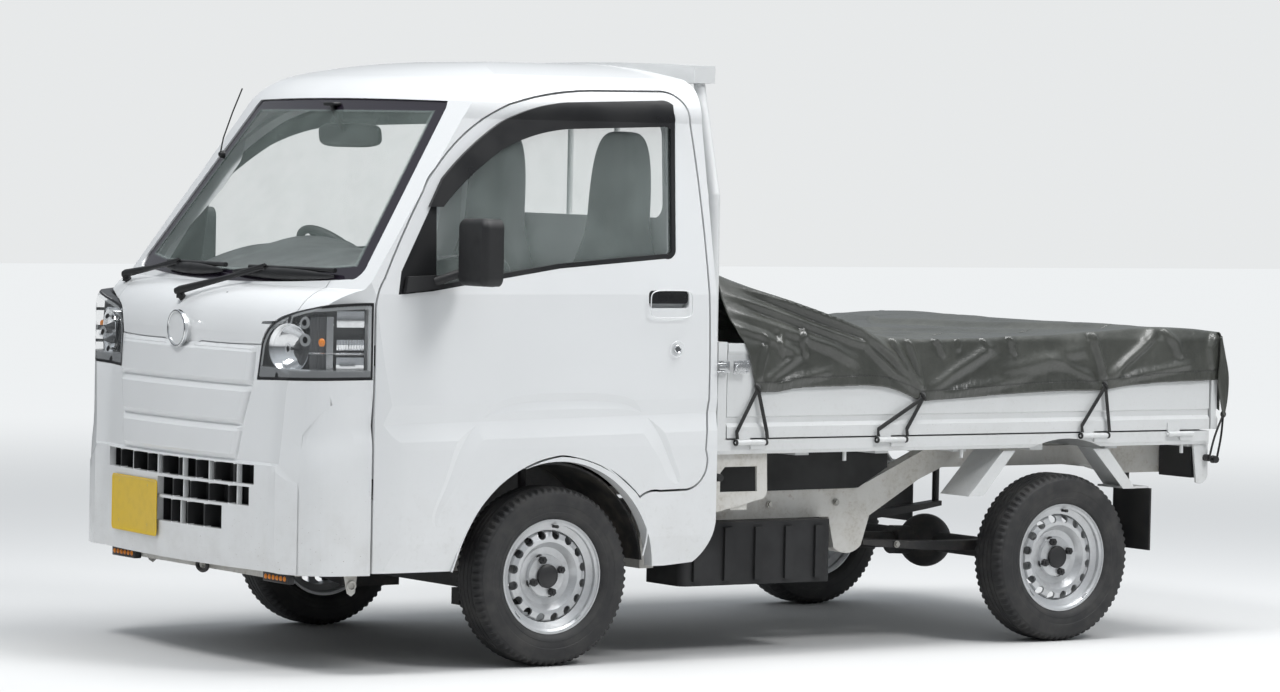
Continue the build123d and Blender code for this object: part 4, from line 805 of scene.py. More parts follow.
def circle(count: int) -> list[tuple[float, float]]:
    """Cosine and sine at even steps round a circle."""
    return [(math.cos(a), math.sin(a)) for a in (2 * math.pi * k / count for k in range(count))]


def superpower(value: float, power: float = 0.55) -> float:
    """A signed power, for rounded rectangles."""
    return math.copysign(abs(value) ** power, value)


def skin(rows: Sequence[Sequence[Point]], wrap: bool = False, flip: bool = False) -> Form:
    """A surface over rows of points.

    Args:
        rows: the points, as many in each row.
        wrap: whether each row closes on itself, and the two end rows are capped.
        flip: whether the faces turn the other way.
    """
    form = bmesh.new()
    grid = [[form.verts.new(point) for point in row] for row in rows]
    count = len(grid[0])
    for near, far in zip(grid, grid[1:]):
        for k in range(count if wrap else count - 1):
            n = (k + 1) % count
            form.faces.new((near[k], far[k], far[n], near[n]) if flip else (near[k], near[n], far[n], far[k]))
    if wrap:
        form.faces.new(grid[0])
        form.faces.new(grid[-1])
        bmesh.ops.recalc_face_normals(form, faces=form.faces)
    return form


def grown(form: Form, faces: list[bmesh.types.BMFace]) -> list[bmesh.types.BMVert]:
    """Extrudes faces and gives the new points."""
    made = bmesh.ops.extrude_face_region(form, geom=faces)
    return [item for item in made["geom"] if isinstance(item, bmesh.types.BMVert)]


def swept(path: Sequence[Vector], section: Sequence[tuple[float, float]], closed: bool = False,
          side: Vector = ACROSS) -> Form:
    """A section carried along a path, as a closed tube.

    Args:
        path: the middle line.
        section: points across it, along side and across side.
        closed: whether the path joins its own start.
        side: the direction that the section's first coordinate keeps near.
    """
    form = bmesh.new()
    rings = []
    count = len(path)
    for index, point in enumerate(path):
        before = path[index - 1] if index or closed else point
        after = path[(index + 1) % count] if index < count - 1 or closed else point
        ahead = (Vector(after) - Vector(before)).normalized()
        first = (side - ahead * side.dot(ahead)).normalized()
        second = ahead.cross(first)
        rings.append([form.verts.new(Vector(point) + first * u + second * v) for u, v in section])
    size = len(section)
    for near, far in zip(rings, rings[1:] + rings[:1] if closed else rings[1:]):
        for k in range(size):
            form.faces.new((near[k], near[(k + 1) % size], far[(k + 1) % size], far[k]))
    if not closed:
        form.faces.new(list(reversed(rings[0])))
        form.faces.new(rings[-1])
    bmesh.ops.recalc_face_normals(form, faces=form.faces)
    return form


def round_section(radius: float, sides: int = 10, flat: float = 1.0) -> list[tuple[float, float]]:
    """A circle, or an ellipse where flat isn't one, as points across a path."""
    return [(radius * u, radius * flat * v) for u, v in circle(sides)]


def hoop(x: float, y: float, z: float, reach: tuple[float, float], count: int,
         section: Sequence[tuple[float, float]], power: float = 1.0, side: Vector = ACROSS) -> Form:
    """A closed ring of bar round a place measured from the front axle.

    Args:
        x, y, z: its middle.
        reach: half its size level and upright.
        count: points round it.
        section: points across the bar.
        power: one for an ellipse, less for a rounded rectangle.
        side: the axis that the ring stands across, Y or X.
    """
    path = []
    for c, s in circle(count):
        u, v = reach[0] * superpower(c, power), reach[1] * superpower(s, power)
        path.append(at(x + u, y, z + v) if side is ACROSS else at(x, y + u, z + v))
    return swept(path, section, closed=True, side=side)


def turned(profile: Sequence[tuple[float, float]], centre: Vector, axis: str = "Y", segments: int = 48,
           direction: float = 1.0) -> Form:
    """A profile turned about an axis, as a closed form.

    Args:
        profile: points as (radius, offset along the axis), first and last on the axis or joined by a wall.
        centre: the place that offsets are measured from.
        axis: X, Y or Z.
        segments: divisions round.
        direction: one, or minus one for offsets the other way.
    """
    form = bmesh.new()
    rings = []
    for radius, offset in profile:
        ring = []
        for u, v in circle(segments)[:segments if radius > 1e-6 else 1]:
            u, v, w = radius * u, radius * v, offset * direction
            local = {"X": (w, u, v), "Y": (u, w, v), "Z": (u, v, w)}[axis]
            ring.append(form.verts.new(centre + Vector(local)))
        rings.append(ring)
    for near, far in zip(rings, rings[1:]):
        if len(near) == 1 and len(far) == 1:
            continue
        for k in range(segments):
            n = (k + 1) % segments
            corners = [near[k % len(near)], near[n % len(near)], far[n % len(far)], far[k % len(far)]]
            form.faces.new(list(dict.fromkeys(corners)))
    for ring in (rings[0], rings[-1]):
        if len(ring) > 1:
            form.faces.new(ring)
    bmesh.ops.recalc_face_normals(form, faces=form.faces)
    return form


def rounded(form: Form, bevel: float, segments: int = 2) -> Form:
    """The form with every edge rounded."""
    if bevel:
        bmesh.ops.bevel(form, geom=list(form.edges), offset=bevel, segments=segments, profile=0.5,
                        affect="EDGES")
    return form


def slab(low: Vector, high: Vector, bevel: float, segments: int = 2) -> Form:
    """A box between two corners with rounded edges."""
    form = bmesh.new()
    bmesh.ops.create_cube(form, size=1.0)
    middle, size = (Vector(low) + Vector(high)) / 2, Vector(high) - Vector(low)
    for vertex in form.verts:
        vertex.co = Vector(c * s for c, s in zip(vertex.co, size)) + middle
    return rounded(form, bevel, segments)


def plate(outline: Sequence[Vector], thickness: Vector, bevel: float) -> Form:
    """A flat outline given a thickness, with rounded edges."""
    form = bmesh.new()
    face = form.faces.new([form.verts.new(p) for p in outline])
    for vertex in grown(form, [face]):
        vertex.co += thickness
    bmesh.ops.recalc_face_normals(form, faces=form.faces)
    return rounded(form, bevel)


def hexagon(wide: float, narrow: float, depth: float, middle: float) -> Form:
    """A six-sided prism along Z, for a nut or a bolt's head."""
    form = bmesh.new()
    bmesh.ops.create_cone(form, cap_ends=True, segments=6, radius1=wide, radius2=narrow, depth=depth,
                          matrix=Matrix.Translation((0, 0, middle)))
    return form


def joined(*forms: bmesh.types.BMesh) -> bmesh.types.BMesh:
    """Several forms in one mesh."""
    whole = bmesh.new()
    for form in forms:
        mesh = bpy.data.meshes.new("part")
        form.to_mesh(mesh)
        form.free()
        whole.from_mesh(mesh)
        bpy.data.meshes.remove(mesh)
    return whole


@dataclass
class Workshop:
    """Turns meshes into finished pieces on their bodies."""

    finishes: Finishes

    def piece(self, name: str, form: Form | bpy.types.Mesh, finish: str, body: str = "body",
              slot: str = "body_paint", smooth: float = 35.0) -> bpy.types.Object:
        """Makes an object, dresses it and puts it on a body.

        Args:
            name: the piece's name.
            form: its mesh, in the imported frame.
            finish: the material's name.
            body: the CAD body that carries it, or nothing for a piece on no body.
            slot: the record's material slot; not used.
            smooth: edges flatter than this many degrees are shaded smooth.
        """
        mesh = form
        if isinstance(form, Form):
            mesh = bpy.data.meshes.new(name)
            form.to_mesh(mesh)
            form.free()
        for polygon in mesh.polygons:
            polygon.use_smooth = True
        mesh.set_sharp_from_angle(angle=math.radians(smooth))
        mesh.materials.clear()
        mesh.materials.append(self.finishes[finish])
        piece = bpy.data.objects.new(name, mesh)
        bpy.context.scene.collection.objects.link(piece)
        if body:
            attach(piece, body)
        log.info("%s: %d faces", name, len(mesh.polygons))
        return piece

    @staticmethod
    def thickened(piece: bpy.types.Object, thickness: float, offset: float) -> None:
        """Gives a sheet its thickness, before it rides on anything that moves."""
        modifier = piece.modifiers.new("thickness", "SOLIDIFY")
        modifier.thickness = thickness
        modifier.offset = offset
        view = bpy.context.evaluated_depsgraph_get()
        mesh = bpy.data.meshes.new_from_object(piece.evaluated_get(view))
        piece.modifiers.remove(modifier)
        old = piece.data
        piece.data = mesh
        bpy.data.meshes.remove(old)


class Repeat:
    """A Geometry Nodes tree that sets a small form on each of many places, turned there."""

    def __init__(self, workshop: Workshop) -> None:
        """Builds the tree: each place carries its turn as an attribute."""
        self.workshop = workshop
        self.tree = bpy.data.node_groups.new("set_on_places", "GeometryNodeTree")
        face = self.tree.interface
        for name, way, kind in (("Places", "INPUT", "Geometry"), ("Form", "INPUT", "Object"),
                                ("Finish", "INPUT", "Material"), ("Result", "OUTPUT", "Geometry")):
            face.new_socket(name, in_out=way, socket_type="NodeSocket" + kind)
        nodes, links = self.tree.nodes, self.tree.links
        start, end, form, turn, spin, place, real, finish = (nodes.new(kind) for kind in (
            "NodeGroupInput", "NodeGroupOutput", "GeometryNodeObjectInfo", "GeometryNodeInputNamedAttribute",
            "FunctionNodeEulerToRotation", "GeometryNodeInstanceOnPoints", "GeometryNodeRealizeInstances",
            "GeometryNodeSetMaterial"))
        turn.data_type = "FLOAT_VECTOR"
        turn.inputs["Name"].default_value = "turn"
        for output, wanted in (
            (start.outputs["Form"], form.inputs["Object"]), (start.outputs["Places"], place.inputs["Points"]),
            (form.outputs["Geometry"], place.inputs["Instance"]), (turn.outputs["Attribute"], spin.inputs[0]),
            (spin.outputs[0], place.inputs["Rotation"]), (place.outputs[0], real.inputs[0]),
            (real.outputs[0], finish.inputs["Geometry"]),
            (start.outputs["Finish"], finish.inputs["Material"]),
            (finish.outputs[0], end.inputs["Result"]),
        ):
            links.new(output, wanted)

    def made(self, name: str, form: Form, places: Sequence[tuple[Vector, Sequence[float]]], finish: str,
             body: str, slot: str = "body_paint") -> bpy.types.Object:
        """Sets the form on every place and makes one plain piece of them.

        Args:
            name: the piece's name.
            form: the small form about its own origin, standing along Z.
            places: points, each with the turn of the form there as three angles.
            finish: the material's name.
            body: the CAD body that carries it.
            slot: the record's material slot; not used.
        """
        mesh = bpy.data.meshes.new(name)
        mesh.from_pydata([tuple(p) for p, _ in places], [], [])
        turns = mesh.attributes.new("turn", "FLOAT_VECTOR", "POINT")
        turns.data.foreach_set("vector", [a for _, angles in places for a in angles])
        host = bpy.data.objects.new(name + "_places", mesh)
        small = bpy.data.meshes.new(name + "_form")
        form.to_mesh(small)
        form.free()
        seed = bpy.data.objects.new(name + "_seed", small)
        for helper in (host, seed):
            bpy.context.scene.collection.objects.link(helper)
        modifier = host.modifiers.new("repeat", "NODES")
        modifier.node_group = self.tree
        wanted = {"Form": seed, "Finish": self.workshop.finishes[finish]}
        for item in self.tree.interface.items_tree:
            if item.in_out == "INPUT" and item.name in wanted:
                modifier[item.identifier] = wanted[item.name]
        view = bpy.context.evaluated_depsgraph_get()
        result = bpy.data.meshes.new_from_object(host.evaluated_get(view))
        host.modifiers.remove(modifier)
        for helper in (host, seed):
            bpy.data.objects.remove(helper)
        return self.workshop.piece(name, result, finish, body, slot)


def facing_turn(direction: Vector, spin: float = 0.0) -> tuple[float, float, float]:
    """Euler angles that stand a form's Z along a direction, after a spin about its own Z."""
    quaternion = direction.to_track_quat("Z", "Y") @ Matrix.Rotation(spin, 3, "Z").to_quaternion()
    return tuple(quaternion.to_euler())


def run_through(table: Sequence[tuple[float, float]], place: "np.ndarray | float") -> "np.ndarray":
    """Smooth interpolation through a table of (place, value) rows, whose places fall or rise."""
    rows = sorted(table)
    xs = np.array([row[0] for row in rows])
    vs = np.array([row[1] for row in rows])
    slopes = np.gradient(vs, xs)
    place = np.clip(np.asarray(place, float), xs[0], xs[-1])
    k = np.clip(np.searchsorted(xs, place, side="right") - 1, 0, len(xs) - 2)
    span = xs[k + 1] - xs[k]
    t = (place - xs[k]) / span
    return ((1 + 2 * t) * (1 - t) ** 2 * vs[k] + t * (1 - t) ** 2 * span * slopes[k]
            + t * t * (3 - 2 * t) * vs[k + 1] + t * t * (t - 1) * span * slopes[k + 1])


def smooth_step(value: "np.ndarray", low: float, high: float) -> "np.ndarray":
    """A smooth rise from nought at low to one at high."""
    t = np.clip((value - low) / (high - low), 0.0, 1.0)
    return t * t * (3 - 2 * t)


def rough_field(a: "np.ndarray", b: "np.ndarray", scale_a: float, scale_b: float,
                seed: float) -> "np.ndarray":
    """Fixed noise over two coordinates, about -1 to 1."""
    flat = [noise.noise(Vector((u * scale_a, v * scale_b, seed))) for u, v in zip(a.ravel(), b.ravel())]
    return np.array(flat).reshape(a.shape)


def smooth_share(value: float) -> float:
    """A value held between nought and one, eased at both ends."""
    share = min(1.0, max(0.0, value))
    return share * share * (3 - 2 * share)


@dataclass(frozen=True)
class Fold:
    """One pleat of cloth along a line: its crest height and width, with a shallow trough on one side."""

    line: tuple[tuple[float, float], ...]
    height: float
    width: float
    trough: float = 0.35

    def over(self, a: "np.ndarray", b: "np.ndarray") -> "np.ndarray":
        """How far the pleat lifts each point.

        Args:
            a: first coordinate of the points.
            b: second coordinate of the points.

        Returns:
            The lift in metres.
        """
        best = np.full(a.shape, 1e9)
        signed = np.zeros(a.shape)
        share = np.zeros(a.shape)
        points = np.array(self.line)
        lengths = np.linalg.norm(np.diff(points, axis=0), axis=1)
        whole = lengths.sum()
        for k, (start, end) in enumerate(zip(points, points[1:])):
            ahead = (end - start) / lengths[k]
            u = np.clip((a - start[0]) * ahead[0] + (b - start[1]) * ahead[1], 0, lengths[k])
            da, db = a - start[0] - u * ahead[0], b - start[1] - u * ahead[1]
            far = np.hypot(da, db)
            nearer = far < best
            best = np.where(nearer, far, best)
            side = np.sign(ahead[0] * db - ahead[1] * da)
            signed = np.where(nearer, far * side, signed)
            share = np.where(nearer, (lengths[:k].sum() + u) / whole, share)
        ends = smooth_step(share, -0.02, 0.22) * (1 - smooth_step(share, 0.86, 1.03))
        width = 0.84 * self.width
        crest = np.exp(-(best / width) ** 2)
        dip = np.exp(-((signed - 1.7 * width) / (1.1 * width)) ** 2)
        return 1.7 * self.height * ends * (crest - self.trough * dip)


@dataclass
class Tarpaulin:
    """The tarpaulin: a middle sheet, two drapes over the side gates and one over the tailgate."""

    workshop: Workshop
    middle_half: float = 0.55
    rear_half: float = 0.7262
    gate_face: float = 0.722
    slack: float = 0.0042
    thickness: float = 0.0018
    lean: float = 0.35
    crease_z: float = 0.946
    front_x: float = -0.604
    rear_x: float = -2.5112
    rear_top_x: float = -2.30
    pitch: float = 0.0052
    hem_width: float = 0.034
    overlap: float = 0.03

    # columns: x, z of the cloth along the gates' tops
    RIDGE = ((-0.600, 1.149), (-0.680, 1.122), (-0.760, 1.097), (-0.869, 1.062), (-1.000, 1.016),
             (-1.089, 0.984), (-1.180, 0.958), (-1.392, 0.951), (-1.667, 0.956), (-1.988, 0.968),
             (-2.225, 0.980), (-2.420, 0.975), (-2.515, 0.965))
    # columns: x, z of the hem
    HEM = ((-0.604, 0.793), (-0.702, 0.793), (-0.800, 0.802), (-1.004, 0.808), (-1.150, 0.807),
           (-1.215, 0.797), (-1.270, 0.779), (-1.326, 0.760), (-1.370, 0.762), (-1.600, 0.774),
           (-1.867, 0.785), (-2.042, 0.787), (-2.120, 0.797), (-2.250, 0.806), (-2.400, 0.811),
           (-2.515, 0.814))
    # columns: distance from the middle line, z of the rear drape's hem
    REAR_HEM = ((0.0, 0.798), (0.30, 0.790), (0.55, 0.768), (0.66, 0.742), (0.7262, 0.716))
    # columns: height, x of the front edge
    FRONT_EDGE = ((0.760, -0.706), (0.795, -0.702), (0.870, -0.684), (0.943, -0.657), (1.003, -0.620),
                  (1.060, -0.604), (1.200, -0.604))
    # columns: grommet x, grommet z, hinge x
    BANDS = ((-0.706, 0.809, -0.684), (-1.326, 0.777, -1.208), (-2.042, 0.804, -2.002))
    HINGE_HALF = 0.050
    SIDE_FOLDS = (
        Fold(((-0.600, 1.146), (-0.869, 1.052), (-1.089, 0.972), (-1.209, 0.898), (-1.318, 0.790)),
             0.0115, 0.017),
        Fold(((-0.600, 1.092), (-0.909, 0.992), (-1.104, 0.934), (-1.210, 0.852), (-1.312, 0.786)),
             0.0085, 0.014),
        Fold(((-1.196, 0.962), (-1.262, 0.874), (-1.322, 0.788)), 0.0085, 0.011),
        Fold(((-1.262, 0.960), (-1.298, 0.880), (-1.328, 0.790)), 0.0060, 0.010),
        Fold(((-0.604, 1.040), (-0.800, 0.985), (-0.980, 0.926), (-1.090, 0.872)), 0.0052, 0.020),
        Fold(((-0.604, 0.998), (-0.740, 0.962), (-0.850, 0.905)), 0.0048, 0.015),
        Fold(((-0.733, 0.972), (-0.742, 0.942), (-0.722, 0.880), (-0.708, 0.822)), 0.0058, 0.010),
        Fold(((-0.800, 0.974), (-0.786, 0.938), (-0.800, 0.895)), 0.0045, 0.009),
        Fold(((-0.888, 0.990), (-0.868, 0.942), (-0.889, 0.898)), 0.0050, 0.010),
        Fold(((-0.712, 0.812), (-0.792, 0.862), (-0.872, 0.918)), 0.0040, 0.018),
        Fold(((-0.716, 0.808), (-0.850, 0.832), (-0.990, 0.858)), 0.0034, 0.017),
        Fold(((-1.352, 0.960), (-1.384, 0.936), (-1.404, 0.893)), 0.0060, 0.009),
        Fold(((-1.452, 0.958), (-1.462, 0.938), (-1.456, 0.912)), 0.0036, 0.009),
        Fold(((-1.545, 0.960), (-1.562, 0.938), (-1.586, 0.915)), 0.0034, 0.010),
        Fold(((-1.652, 0.966), (-1.668, 0.938), (-1.680, 0.896)), 0.0066, 0.010),
        Fold(((-1.335, 0.782), (-1.440, 0.846), (-1.600, 0.930)), 0.0062, 0.024),
        Fold(((-1.340, 0.776), (-1.520, 0.800), (-1.760, 0.832)), 0.0036, 0.019),
        Fold(((-1.600, 0.842), (-1.780, 0.876), (-1.976, 0.920)), 0.0055, 0.030),
        Fold(((-1.984, 0.984), (-1.998, 0.934), (-2.028, 0.864), (-2.041, 0.812)), 0.0105, 0.013),
        Fold(((-2.034, 0.810), (-1.930, 0.852), (-1.800, 0.890)), 0.0042, 0.018),
        Fold(((-2.046, 0.812), (-2.120, 0.872), (-2.200, 0.930), (-2.262, 0.990)), 0.0085, 0.019),
        Fold(((-2.050, 0.808), (-2.190, 0.836), (-2.400, 0.866)), 0.0052, 0.016),
        Fold(((-2.276, 0.985), (-2.330, 0.930), (-2.352, 0.880)), 0.0055, 0.016),
        Fold(((-2.500, 0.968), (-2.470, 0.916), (-2.484, 0.840)), 0.0062, 0.013),
    )
    TOP_FOLDS = (
        Fold(((-0.606, 0.430), (-0.900, 0.520), (-1.180, 0.640), (-1.300, 0.735)), 0.010, 0.024),
        Fold(((-0.606, 0.230), (-1.000, 0.400), (-1.380, 0.620), (-1.520, 0.735)), 0.009, 0.026),
        Fold(((-0.606, 0.020), (-1.150, 0.240), (-1.560, 0.560), (-1.690, 0.735)), 0.008, 0.030),
        Fold(((-0.900, 0.000), (-1.500, 0.180), (-1.900, 0.560), (-1.985, 0.735)), 0.008, 0.026),
        Fold(((-2.260, 0.735), (-2.180, 0.450), (-2.000, 0.050), (-1.850, -0.350)), 0.010, 0.034),
        Fold(((-2.500, 0.600), (-2.300, 0.300), (-2.250, -0.100), (-2.300, -0.600)), 0.007, 0.034),
        Fold(((-0.606, -0.300), (-1.000, -0.430), (-1.350, -0.735)), 0.010, 0.026),
        Fold(((-0.606, -0.100), (-1.200, -0.300), (-1.700, -0.735)), 0.008, 0.030),
        Fold(((-1.500, -0.050), (-1.900, -0.300), (-2.050, -0.735)), 0.008, 0.028),
    )

    def ridge(self, x: "np.ndarray") -> "np.ndarray":
        """Height of the cloth along the gates' tops."""
        return run_through(self.RIDGE, x)

    def over_top(self, x: "np.ndarray", y: "np.ndarray") -> "np.ndarray":
        """Height of the upper sheet above the ridge's level: pleats, sag and small creases."""
        lift = sum(fold.over(x, y) for fold in self.TOP_FOLDS)
        lift = lift + 0.0035 * rough_field(x, y, 5.0, 5.0, 2.5) + 0.0012 * rough_field(x, y, 19.0, 19.0, 7.5)
        inner = smooth_step(self.gate_face - np.abs(y), 0.02, 0.30)
        sag = -0.012 * inner * smooth_step(-x, 0.9, 1.3) * (0.6 + 0.4 * np.sin((x + 1.2) * 4.0))
        ends = smooth_step(self.front_x - x, -0.001, 0.05)
        return (lift * (0.35 + 0.65 * inner) + sag) * ends

    def over_side(self, x: "np.ndarray", q: "np.ndarray", seed: float) -> "np.ndarray":
        """How far a side drape stands out from its plain fall."""
        lift = sum(fold.over(x, q) for fold in self.SIDE_FOLDS)
        lift = lift + 0.0022 * rough_field(x, q, 8.0, 4.0, seed)
        lift = lift + 0.0010 * rough_field(x, q, 26.0, 12.0, seed + 3)
        hem = run_through(self.HEM, x)
        band = 1.0 - smooth_step(q - hem, self.hem_width - 0.004, self.hem_width + 0.001)
        lift = lift + band * (0.0007 + 0.0011 * rough_field(x, q, 62.0, 14.0, seed + 9))
        for gx, gz, _ in self.BANDS:
            lift = lift * smooth_step(np.hypot(x - gx, q - gz), 0.006, 0.030)
        return lift

    def _path(self, x: float) -> "np.ndarray":
        """Middle line of a side drape at one place along the truck, from the middle sheet to the hem."""
        top, foot = float(self.ridge(x)), float(run_through(self.HEM, x))
        hang = self.gate_face + self.slack
        ridge_y = hang - self.lean * (top - self.crease_z) - 0.004
        crease = min(self.crease_z, top - 0.004)
        corners = np.array([(self.middle_half - self.overlap, top), (self.middle_half, top), (ridge_y, top),
                            (hang, crease), (hang, foot), (hang, foot - self.overlap)])
        reach, line, fine = self._evenly(corners, 400)
        radius = 0.009 + 0.03 * min(1.0, max(0.0, (top - 0.98) / 0.12))
        window = max(3, int(radius / (fine[1] - fine[0])))
        kernel = np.ones(2 * window + 1) / (2 * window + 1)
        padded = np.pad(line, ((window, window), (0, 0)), mode="edge")
        soft = np.column_stack([np.convolve(padded[:, k], kernel, mode="valid") for k in (0, 1)])
        return soft[(fine >= self.overlap) & (fine <= reach - self.overlap)]

    @staticmethod
    def _evenly(line: "np.ndarray", count: int) -> tuple[float, "np.ndarray", "np.ndarray"]:
        """A line's length, its points at even steps along it, and the steps' distances."""
        steps = np.linalg.norm(np.diff(line, axis=0), axis=1)
        reach = np.concatenate([[0], np.cumsum(steps)])
        wanted = np.linspace(0, reach[-1], count)
        return reach[-1], np.column_stack([np.interp(wanted, reach, line[:, k]) for k in (0, 1)]), wanted

    def _side_grid(self, side: Side) -> tuple["np.ndarray", "np.ndarray"]:
        """Points of a side drape by column and row, with each one's distance up from the hem."""
        columns = int((self.front_x - self.rear_x) / self.pitch)
        rows = 66
        base = np.zeros((columns, rows, 3))
        up = np.zeros((columns, rows))
        normal = np.zeros((columns, rows, 2))
        for i, x in enumerate(np.linspace(self.front_x, self.rear_x, columns)):
            reach, yz, wanted = self._evenly(self._path(x), rows)
            ahead = np.gradient(yz, axis=0)
            ahead /= np.linalg.norm(ahead, axis=1)[:, None]
            base[i, :, 0] = x
            base[i, :, 1:] = yz
            normal[i] = np.column_stack([-ahead[:, 1], ahead[:, 0]])
            up[i] = reach - wanted
        on_ridge = np.clip(self.gate_face - base[:, :, 1], 0, None) * (normal[:, :, 1] > 0.9)
        q = base[:, :, 2] + on_ridge * 0.4
        edge = run_through(self.FRONT_EDGE, q)
        base[:, :, 0] += (edge - self.front_x) * (1 - smooth_step(self.front_x - base[:, :, 0], 0.0, 0.34))
        on_top = smooth_step(normal[:, :, 1], 0.55, 0.98)
        top = self.over_top(base[:, :, 0], base[:, :, 1] * side.value)
        hung = self.over_side(base[:, :, 0], q, 3.0 + 5.0 * side.value)
        ends = smooth_step(base[:, :, 0] - self.rear_x, 0.0, 0.02)
        out = on_top * top + (1 - on_top) * hung * (0.25 + 0.75 * ends)
        base[:, :, 1] += normal[:, :, 0] * out
        base[:, :, 2] += normal[:, :, 1] * out
        inner = self.gate_face + 0.0009 + self.thickness / 2
        low = base[:, :, 2] < self.crease_z - 0.0055
        base[:, :, 1] = np.where(low, np.maximum(base[:, :, 1], inner), base[:, :, 1])
        return base, up

    def _cloth(self, name: str, points: "np.ndarray", up: "np.ndarray", flip: bool,
               keep: "np.ndarray | None" = None) -> tuple[bpy.types.Object, float]:
        """A sheet over a grid of points, with its hem coordinates and a thickness, and its flat area.

        Args:
            name: the piece's name.
            points: places by column and row, measured from the front axle.
            up: distance from the hem by column and row.
            flip: whether its faces turn the other way.
            keep: which cells of the grid are cloth.
        """
        columns, rows = up.shape
        co = points.reshape(-1, 3) + np.array([NOSE_TO_ORIGIN, 0, 0])
        faces = []
        for i in range(columns - 1):
            for j in range(rows - 1):
                if keep is not None and not keep[i, j]:
                    continue
                a, b = i * rows + j, (i + 1) * rows + j
                faces.append((a, a + 1, b + 1, b) if flip else (a, b, b + 1, a + 1))
        mesh = bpy.data.meshes.new(name)
        mesh.from_pydata([tuple(p) for p in co], [], faces)
        layer = mesh.uv_layers.new(name="hem")
        flat = np.column_stack([points[:, :, 0].ravel(), up.ravel()])
        corners = np.zeros(len(mesh.loops), dtype=int)
        mesh.loops.foreach_get("vertex_index", corners)
        layer.data.foreach_set("uv", flat[corners].ravel())
        form = bmesh.new()
        form.from_mesh(mesh)
        bmesh.ops.delete(form, geom=[v for v in form.verts if not v.link_faces], context="VERTS")
        area = sum(face.calc_area() for face in form.faces)
        form.to_mesh(mesh)
        form.free()
        piece = self.workshop.piece(name, mesh, "tarpaulin", "", "tarp_fabric", 60.0)
        Workshop.thickened(piece, self.thickness, 0.0)
        return piece, area

    def _band(self, side: Side, gx: float, gz: float, hinge: float) -> list[Form]:
        """A taut rubber band from a grommet to both ends of a hinge, hooked round its pin."""
        s = side.value
        y = self.gate_face + self.slack + 0.0035
        forms = []
        for end in (hinge - self.HINGE_HALF - 0.0046, hinge + self.HINGE_HALF + 0.0046):
            path = [at(gx, y * s, gz - 0.002), at(gx + 0.06 * (end - gx), (y + 0.0005) * s, gz - 0.012),
                    at(end, 0.7335 * s, 0.676), at(end, 0.7372 * s, 0.655)]
            forms.append(swept(path, round_section(0.0066, 8, 0.34), side=ALONG))
            forms.append(hoop(end, 0.7295 * s, 0.644, (0.0078 * s, 0.0078), 20, round_section(0.0046, 8, 0.5),
                              side=ALONG))
        knot = [at(gx + 0.008 * v, (y + 0.0035 * u) * s, gz - 0.004 + 0.009 * v) for u, v in circle(16)]
        forms.append(swept(knot, round_section(0.0042, 8), closed=True, side=ALONG))
        return forms

    def _eyelets(self, side: Side) -> list[Form]:
        """Rolled metal eyelets pressed in the hem."""
        y = self.gate_face + self.slack + self.thickness / 2
        profile = [(0.0052, 0.0), (0.0056, 0.0013), (0.0075, 0.0020), (0.0105, 0.0014), (0.0118, -0.0002),
                   (0.0105, -0.0016), (0.0056, -0.0016), (0.0052, 0.0)]
        return [turned(profile, at(gx, y * side.value, gz), "Y", 28, side.value) for gx, gz, _ in self.BANDS]

    def _stitches(self, side: Side, repeat: Repeat, points: "np.ndarray", up: "np.ndarray") -> None:
        """A row of thread sewn along a side's hem, over the left flank's points."""
        s = side.value
        marks = ((-0.0026, 0), (-0.0016, 0.0009), (0.0016, 0.0009), (0.0026, 0))
        stitch = swept([Vector((x, 0, z)) for x, z in marks], round_section(0.0005, 5))
        places = []
        last = None
        for i in range(4, points.shape[0] - 2):
            row = int(np.argmin(np.abs(up[i] - 0.0285)))
            here = Vector(points[i, row])
            if last is not None and (here - last).length < 0.0078:
                continue
            last = here
            ahead = Vector(points[i + 1, row]) - here
            lift = Vector((0, self.thickness / 2 + 0.0002, 0)) * s
            turn = (math.pi / 2 * -s, math.atan2(ahead.z, -ahead.x), 0.0)
            places.append((at(here.x, here.y * s, here.z) + lift, turn))
        repeat.made(f"tarp_stitches_{side.word}", stitch, places, "thread", f"gate_{side.word}",
                    "tarp_fabric")

    def build(self, repeat: Repeat) -> None:
        """Makes the whole tarpaulin with its bands.

        Args:
            repeat: the tree that sets stitches.
        """
        length = self.front_x - self.rear_x
        for side in Side:
            gate = f"gate_{side.word}"
            points, up = self._side_grid(side)
            hung = points * (1.0, side.value, 1.0)
            piece, area = self._cloth(f"tarp_drape_{side.word}", hung, up, side is Side.RIGHT)
            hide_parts(f"tarp_{side.word}")
            tuple(at(-1.5, self.middle_half * side.value, 0.95))
            tuple(at(-1.5, 0.715 * side.value, 0.95))
            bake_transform(piece)
            bands = [form for row in self.BANDS for form in self._band(side, *row)]
            holders = self.workshop.piece(f"tarp_bands_{side.word}", joined(*bands), "band_rubber", gate,
                                          "tarp_fabric")
            eyelets = self.workshop.piece(f"tarp_eyelets_{side.word}", joined(*self._eyelets(side)),
                                          "eyelet_metal", gate, "tarp_fabric")
            area / length * 1.02
            self._stitches(side, repeat, points, up)
        self._middle()
        self._rear()

